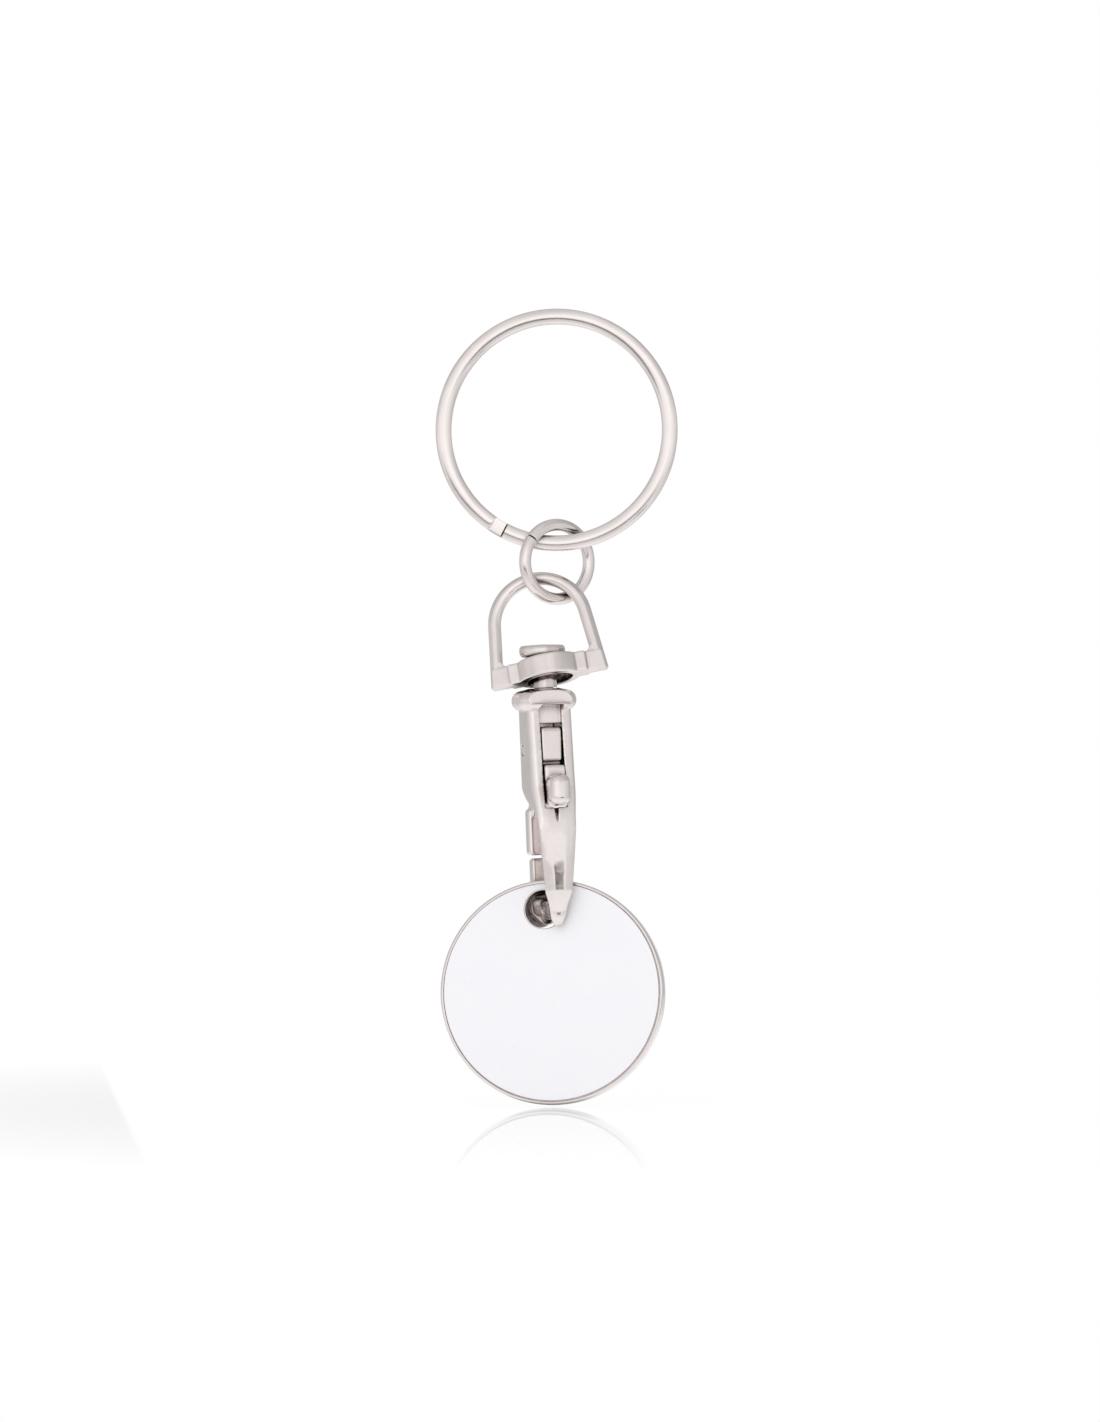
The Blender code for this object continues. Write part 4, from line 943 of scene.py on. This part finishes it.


# Metal: tones, noise scales per metre, and where painted shade darkens the heel behind the token's hole, in
# millimetres of the shared frame
NICKEL_TONES = ((0.86, 0.80, 0.785), (0.80, 0.735, 0.715))
WIRE_TONES = ((0.87, 0.81, 0.795), (0.81, 0.745, 0.725))
COINED_TONES = ((0.81, 0.75, 0.74), (0.75, 0.69, 0.675))
STEEL_TONES = ((0.87, 0.815, 0.80), (0.82, 0.76, 0.74))
# Dark brown-grey tones of the painted shade in the hollows, mottled in patches by noise
PAINTED_SHADE_TONES = ((0.10, 0.075, 0.06), (0.20, 0.17, 0.155))
CLOUD_SCALE = 420
GRAIN_SCALE = 5200
PATCH_SCALE = 1500
STREAK_SCALE = 3600
WAVE_SCALE = 700
CLOUD_ROUGHNESS = 0.10
GRAIN_ROUGHNESS = 0.05
STREAK_ROUGHNESS = 0.12
HOLLOW_REACH = 1.6 * MM
HEEL_SHADE_Y = ((-0.5, 0.0), (-0.2, 0.9), (0.8, 0.9), (1.1, 0.0))
HEEL_SHADE_Z = ((-58.6, 0.0), (-59.1, 1.0))


def heel_painted_shade(nodes, y, z):
    """How much painted shade darkens the front of the heel, where it shows through the token's hole. A ramp
    reads 0 to 1, so the places are scaled.
    """
    across = nodes.math("MULTIPLY_ADD", y, 0.2 / MM, 0.5)
    down = nodes.math("MULTIPLY", z, -0.01 / MM)
    across = nodes.ramp(across, *((0.5 + 0.2 * at, darkness) for at, darkness in HEEL_SHADE_Y))
    down = nodes.ramp(down, *((-0.01 * at, darkness) for at, darkness in HEEL_SHADE_Z))
    return nodes.math("MULTIPLY", across, down)


def drawn_streaks(nodes, x, y, z):
    """Noise that is the same all the way round the split ring, as the drawing of the wire left it."""
    down = nodes.math("ADD", z, RING_INNER * MM)
    square = nodes.math("MULTIPLY", x, x)
    radius = nodes.math("SQRT", nodes.math("MULTIPLY_ADD", down, down, square))
    flat = nodes.add("ShaderNodeCombineXYZ")
    nodes.link(radius, flat.inputs[0])
    nodes.link(y, flat.inputs[1])
    return nodes.noise(flat.outputs[0], STREAK_SCALE, 1)


def metal(name, tones, roughness, wave_height, hollow_shade, streaks=False, heel_shade=False):
    """Plated metal: uneven polish, hand-ground waves, and painted shade in dark brown-grey in the hollows.

    Wire can have drawn streaks in place of the grain, and the hook has painted shade on the front of its heel."""
    made, nodes, shader = material(name)
    place = nodes.add("ShaderNodeTexCoord").outputs["Object"]
    clouds = nodes.noise(place, CLOUD_SCALE, 4)
    bright, dull = tones
    tone = nodes.mixed(nodes.ramp(clouds, (0.3, 0.0), (0.7, 1.0)), dull, bright)
    # Painted shade: where the AO node finds a hollow, the base colour turns towards the dark brown-grey tones
    hollow = nodes.add("ShaderNodeAmbientOcclusion", Distance=HOLLOW_REACH, _samples=12)
    depth = nodes.ramp(hollow.outputs["AO"], (0.28, hollow_shade), (0.52, 0.6 * hollow_shade), (0.80, 0.0))
    shade_patches = nodes.ramp(nodes.noise(place, PATCH_SCALE, 3), (0.4, 0.0), (0.6, 1.0))
    painted_shade = nodes.mixed(shade_patches, *PAINTED_SHADE_TONES)
    # Painted shade on the front of the hook's heel, in the same dark tones
    if heel_shade:
        _, y, z = nodes.parts(place)
        depth = nodes.math("MAXIMUM", depth, heel_painted_shade(nodes, y, z))
    nodes.link(nodes.mixed(depth, tone, painted_shade), shader.inputs["Base Color"])
    rough = nodes.math("MULTIPLY_ADD", clouds, CLOUD_ROUGHNESS, roughness - CLOUD_ROUGHNESS / 2)
    if streaks:
        rough = nodes.spread(rough, drawn_streaks(nodes, *nodes.parts(place)), STREAK_ROUGHNESS)
    else:
        rough = nodes.spread(rough, nodes.noise(place, GRAIN_SCALE, 3), GRAIN_ROUGHNESS)
    nodes.link(rough, shader.inputs["Roughness"])
    shader.inputs["Metallic"].default_value = 1.0
    nodes.bump(shader, nodes.noise(place, WAVE_SCALE, 1), wave_height)
    return made


# Enamel
ENAMEL_TONES = ((0.958, 0.951, 0.990), (0.972, 0.965, 0.996))
SPECK_TONE = (0.72, 0.71, 0.73)
ENAMEL_WAVE = 0.000004


def enamel():
    """White enamel with a few small grey specks, under a thin clear coat."""
    made, nodes, shader = material("white_enamel_look")
    place = nodes.add("ShaderNodeTexCoord").outputs["Object"]
    clouds = nodes.noise(place, 260, 3)
    grain = nodes.add("ShaderNodeTexVoronoi", Scale=1500, _feature="F1")
    nodes.link(place, grain.inputs["Vector"])
    patchy = nodes.ramp(nodes.noise(place, 380, 2), (0.56, 0.0), (0.66, 1.0))
    speck = nodes.math("MULTIPLY", nodes.ramp(grain.outputs[0], (0.05, 1.0), (0.12, 0.0)), patchy)
    tone = nodes.mixed(clouds, *ENAMEL_TONES)
    nodes.link(nodes.mixed(speck, tone, SPECK_TONE), shader.inputs["Base Color"])
    rough = nodes.math("MULTIPLY_ADD", clouds, 0.12, 0.24)
    nodes.link(rough, shader.inputs["Roughness"])
    shader.inputs["Coat Weight"].default_value = 0.3
    shader.inputs["Coat Roughness"].default_value = 0.08
    nodes.bump(shader, nodes.noise(place, 650, 2), ENAMEL_WAVE)
    return made


# Studio: a pale tent over a pale round table. The camera itself sees the tent as white.
FLOOR_Z = -80.95 * MM
FLOOR_RADIUS = 0.21
VIEW_CENTRE = (-0.68, -40.1)
VIEW_AZIMUTH = 4 * DEGREE
FRAME_HEIGHT = 147.5 * MM
LENS = 150
SENSOR = 36

# Levels of the tent from the back to the front, and from below to above, each as a place from 0 to 1
FRONT_LEVELS = ((0.0, 0.56), (0.25, 0.61), (0.5, 0.70), (0.75, 0.83), (0.9, 0.98), (1.0, 1.10))
HEIGHT_LEVELS = ((0.2, 0.8), (0.32, 0.92), (0.5, 1.0), (0.56, 1.0), (0.7, 0.86), (0.85, 0.84), (1.0, 0.9))

# A dark strip low in front, and a greyer side at the right
STRIP_HEIGHT = ((0.29, 0.0), (0.325, 1.0), (0.415, 1.0), (0.45, 0.0))
STRIP_FRONT = ((0.62, 0.0), (0.8, 1.0))
STRIP_RIGHT = ((0.12, 0.0), (0.25, 1.0), (0.58, 1.0), (0.74, 0.0))
STRIP_DARK = 0.78
ASIDE_RIGHT = ((0.62, 0.0), (0.78, 1.0), (0.9, 1.0), (1.0, 0.3))
ASIDE_DARK = 0.12
UNEVEN_LEVEL = 0.44
UNEVEN_LEAST = 0.81
EVEN_LEVEL = 0.95
BACKDROP_ANGLE = 9 * DEGREE

# The table shows the camera a glow with a faint shadow in it and a mirror image that fades from its middle.
# Metal mirrors that glow fully up to 40 mm from the middle and not past 120 mm.
TABLE_TONE = (0.72, 0.71, 0.71, 1)
TABLE_GLOW = 1.05
TABLE_SHADOW = 0.12
TABLE_NEAR = ((40, 1.0), (120, 0.0))
TABLE_MIRROR = 0.45
TABLE_MIRROR_REACH = 0.100
TABLE_MIRROR_BLUR = 0.02

# The spotted card, which nothing nearer than CARD_NEAREST sees
CARD_PLACE = (0.0588, -0.084, -0.0715)
CARD_AIM = Vector((0, -0.003, -0.062))
CARD_SIZE = (0.021, 0.019, 1)
CARD_BLACK = (0.03, 0.028, 0.027)
CARD_SPOT = ((0.46, 0.0), (0.56, 1.0))
CARD_RAGGED = 0.24
CARD_GLOW = 1.15
CARD_NEAREST = 0.09


def world():
    """The tent, brightest in front, with one dark strip, and the white backdrop in its own place.

    Rays off a matt surface see one even level."""
    made = bpy.data.worlds.new("studio_tent")
    bpy.context.scene.world = made
    made.use_nodes = True
    nodes = Nodes(made.node_tree)
    shader = made.node_tree.nodes["Background"]
    direction = nodes.add("ShaderNodeTexCoord").outputs["Generated"]
    x, y, z = nodes.parts(direction)
    right = nodes.math("MULTIPLY_ADD", x, 0.5, 0.5)
    front = nodes.math("MULTIPLY_ADD", y, -0.5, 0.5)
    height = nodes.math("MULTIPLY_ADD", z, 0.5, 0.5)
    level = nodes.math("MULTIPLY", nodes.ramp(front, *FRONT_LEVELS), nodes.ramp(height, *HEIGHT_LEVELS))
    strip = nodes.math("MULTIPLY", nodes.ramp(height, *STRIP_HEIGHT), nodes.ramp(front, *STRIP_FRONT))
    strip = nodes.math("MULTIPLY", strip, nodes.ramp(right, *STRIP_RIGHT))
    level = nodes.dimmed(level, strip, STRIP_DARK)
    level = nodes.dimmed(level, nodes.ramp(right, *ASIDE_RIGHT), ASIDE_DARK)
    uneven = nodes.math("MULTIPLY_ADD", nodes.noise(direction, 3.2, 1), UNEVEN_LEVEL, UNEVEN_LEAST)
    level = nodes.math("MULTIPLY", level, uneven)
    path = nodes.add("ShaderNodeLightPath")
    level = nodes.mixed(path.outputs["Is Diffuse Ray"], level, (EVEN_LEVEL, EVEN_LEVEL, EVEN_LEVEL))
    backdrop = nodes.math("GREATER_THAN", y, math.cos(BACKDROP_ANGLE))
    shown = nodes.math("MULTIPLY", backdrop, nodes.mirrored(path))
    shown = nodes.math("MAXIMUM", shown, path.outputs["Is Camera Ray"])
    nodes.link(nodes.mixed(shown, level, (1.0, 1.0, 1.0)), shader.inputs["Color"])
    shader.inputs["Strength"].default_value = 1.0


def table():
    """A round table top that can't be seen from below."""
    skin = bmesh.new()
    bmesh.ops.create_circle(skin, cap_ends=True, segments=128, radius=FLOOR_RADIUS)
    made = from_skin("table_top", skin)
    made.location = (0, 0, FLOOR_Z)
    stuff, nodes, surface = bare_material("table_white")
    diffuse = nodes.add("ShaderNodeBsdfDiffuse", Color=TABLE_TONE)
    glow = nodes.add("ShaderNodeEmission", Color=(1, 1, 1, 1), Strength=TABLE_GLOW)
    gloss = nodes.add("ShaderNodeBsdfGlossy", Color=(1, 1, 1, 1), Roughness=TABLE_MIRROR_BLUR)
    clear = nodes.add("ShaderNodeBsdfTransparent")
    path = nodes.add("ShaderNodeLightPath")
    seen = path.outputs["Is Camera Ray"]
    reach = nodes.length(nodes.add("ShaderNodeTexCoord").outputs["Object"])
    near = nodes.math("MULTIPLY", reach, 0.005 / MM)
    near = nodes.ramp(near, *((0.005 * at, level) for at, level in TABLE_NEAR))
    shown = nodes.math("MAXIMUM", nodes.math("MULTIPLY", near, nodes.mirrored(path)), seen)
    base = nodes.shaders(shown, diffuse, nodes.shaders(TABLE_SHADOW, glow, diffuse))
    fade = nodes.math("MULTIPLY_ADD", reach, -1 / TABLE_MIRROR_REACH, 1.0, clamp=True)
    share = nodes.math("MULTIPLY", nodes.math("MULTIPLY", fade, TABLE_MIRROR), seen)
    polished = nodes.shaders(share, base, gloss)
    below = nodes.add("ShaderNodeNewGeometry").outputs["Backfacing"]
    nodes.link(nodes.shaders(below, polished, clear).outputs[0], surface)
    made.data.materials.append(stuff)


def spotted_card():
    """A small white card with a black middle, unseen by the camera, that the front of the claw mirrors."""
    skin = bmesh.new()
    bmesh.ops.create_circle(skin, cap_ends=True, segments=48, radius=1.0)
    made = from_skin("spotted_card", skin)
    made.location = CARD_PLACE
    made.rotation_euler = (CARD_AIM - made.location).to_track_quat("Z", "Y").to_euler()
    made.scale = CARD_SIZE
    made.visible_camera = False
    made.visible_shadow = False
    made.visible_diffuse = False
    stuff, nodes, surface = bare_material("card_white_and_black")
    place = nodes.add("ShaderNodeTexCoord").outputs["Object"]
    edge = nodes.math("MULTIPLY_ADD", nodes.noise(place, 3.2, 2), CARD_RAGGED, -CARD_RAGGED / 2)
    level = nodes.ramp(nodes.math("ADD", nodes.length(place), edge), *CARD_SPOT)
    glow = nodes.add("ShaderNodeEmission", Strength=CARD_GLOW)
    nodes.link(nodes.mixed(level, CARD_BLACK, (1.0, 1.0, 1.0)), glow.inputs["Color"])
    distance = nodes.add("ShaderNodeLightPath").outputs["Ray Length"]
    far_off = nodes.math("GREATER_THAN", distance, CARD_NEAREST)
    clear = nodes.add("ShaderNodeBsdfTransparent")
    nodes.link(nodes.shaders(far_off, clear, glow).outputs[0], surface)
    made.data.materials.append(stuff)


def lamp(name, place, aim, size, power):
    data = bpy.data.lights.new(name, "AREA")
    data.shape = "RECTANGLE"
    data.size, data.size_y = size
    data.energy = power
    made = bpy.data.objects.new(name, data)
    bpy.context.scene.collection.objects.link(made)
    made.location = place
    made.rotation_euler = (Vector(aim) - Vector(place)).to_track_quat("-Z", "Y").to_euler()
    made.visible_glossy = False


def camera():
    data = bpy.data.cameras.new("photo_view")
    data.lens = LENS
    data.sensor_width = SENSOR
    made = bpy.data.objects.new("photo_view", data)
    bpy.context.scene.collection.objects.link(made)
    across = Vector((math.cos(VIEW_AZIMUTH), math.sin(VIEW_AZIMUTH), 0))
    back = Vector((math.sin(VIEW_AZIMUTH), -math.cos(VIEW_AZIMUTH), 0))
    target = across * VIEW_CENTRE[0] * MM + Vector((0, 0, VIEW_CENTRE[1] * MM))
    made.location = target + back * (FRAME_HEIGHT * LENS / SENSOR)
    made.rotation_euler = (-back).to_track_quat("-Z", "Y").to_euler()
    data.clip_start = 0.01
    data.clip_end = 10
    bpy.context.scene.camera = made


for leftover in [o for o in bpy.data.objects if o.name in ("Cube", "Light", "Camera")]:
    bpy.data.objects.remove(leftover)

# The fifth figure is how far the painted shade darkens the hollows
NICKEL = metal("nickel_plate_look", NICKEL_TONES, 0.16, 0.000034, 1.0)
CAST_HOOK = metal("cast_hook_look", NICKEL_TONES, 0.16, 0.000034, 1.0, heel_shade=True)
PLATED = metal("plated_wire_look", WIRE_TONES, 0.16, 0.000008, 0.6)
COINED = metal("coined_blank_look", COINED_TONES, 0.14, 0.000004, 0.9)
STEEL = metal("spring_steel_look", STEEL_TONES, 0.17, 0.0000025, 0.6, streaks=True)
ENAMEL = enamel()

split_ring()
jump_ring()
swivel_loop()
swivel_stud()
hook_body()
pivot_pin()
trigger_gate()
gate_spring()
token()
token_inlay("token_enamel_front", "token_inlay_front", 1)
token_inlay("token_enamel_back", "token_inlay_back", -1)

world()
table()
spotted_card()
camera()
lamp("key_softbox", (-0.20, -0.40, 0.42), (0, 0, -0.04), (0.5, 0.5), 0.7)
lamp("fill_softbox", (0.40, -0.30, 0.10), (0, 0, -0.04), (0.3, 0.5), 0.06)
bpy.context.scene.view_settings.view_transform = "Standard"
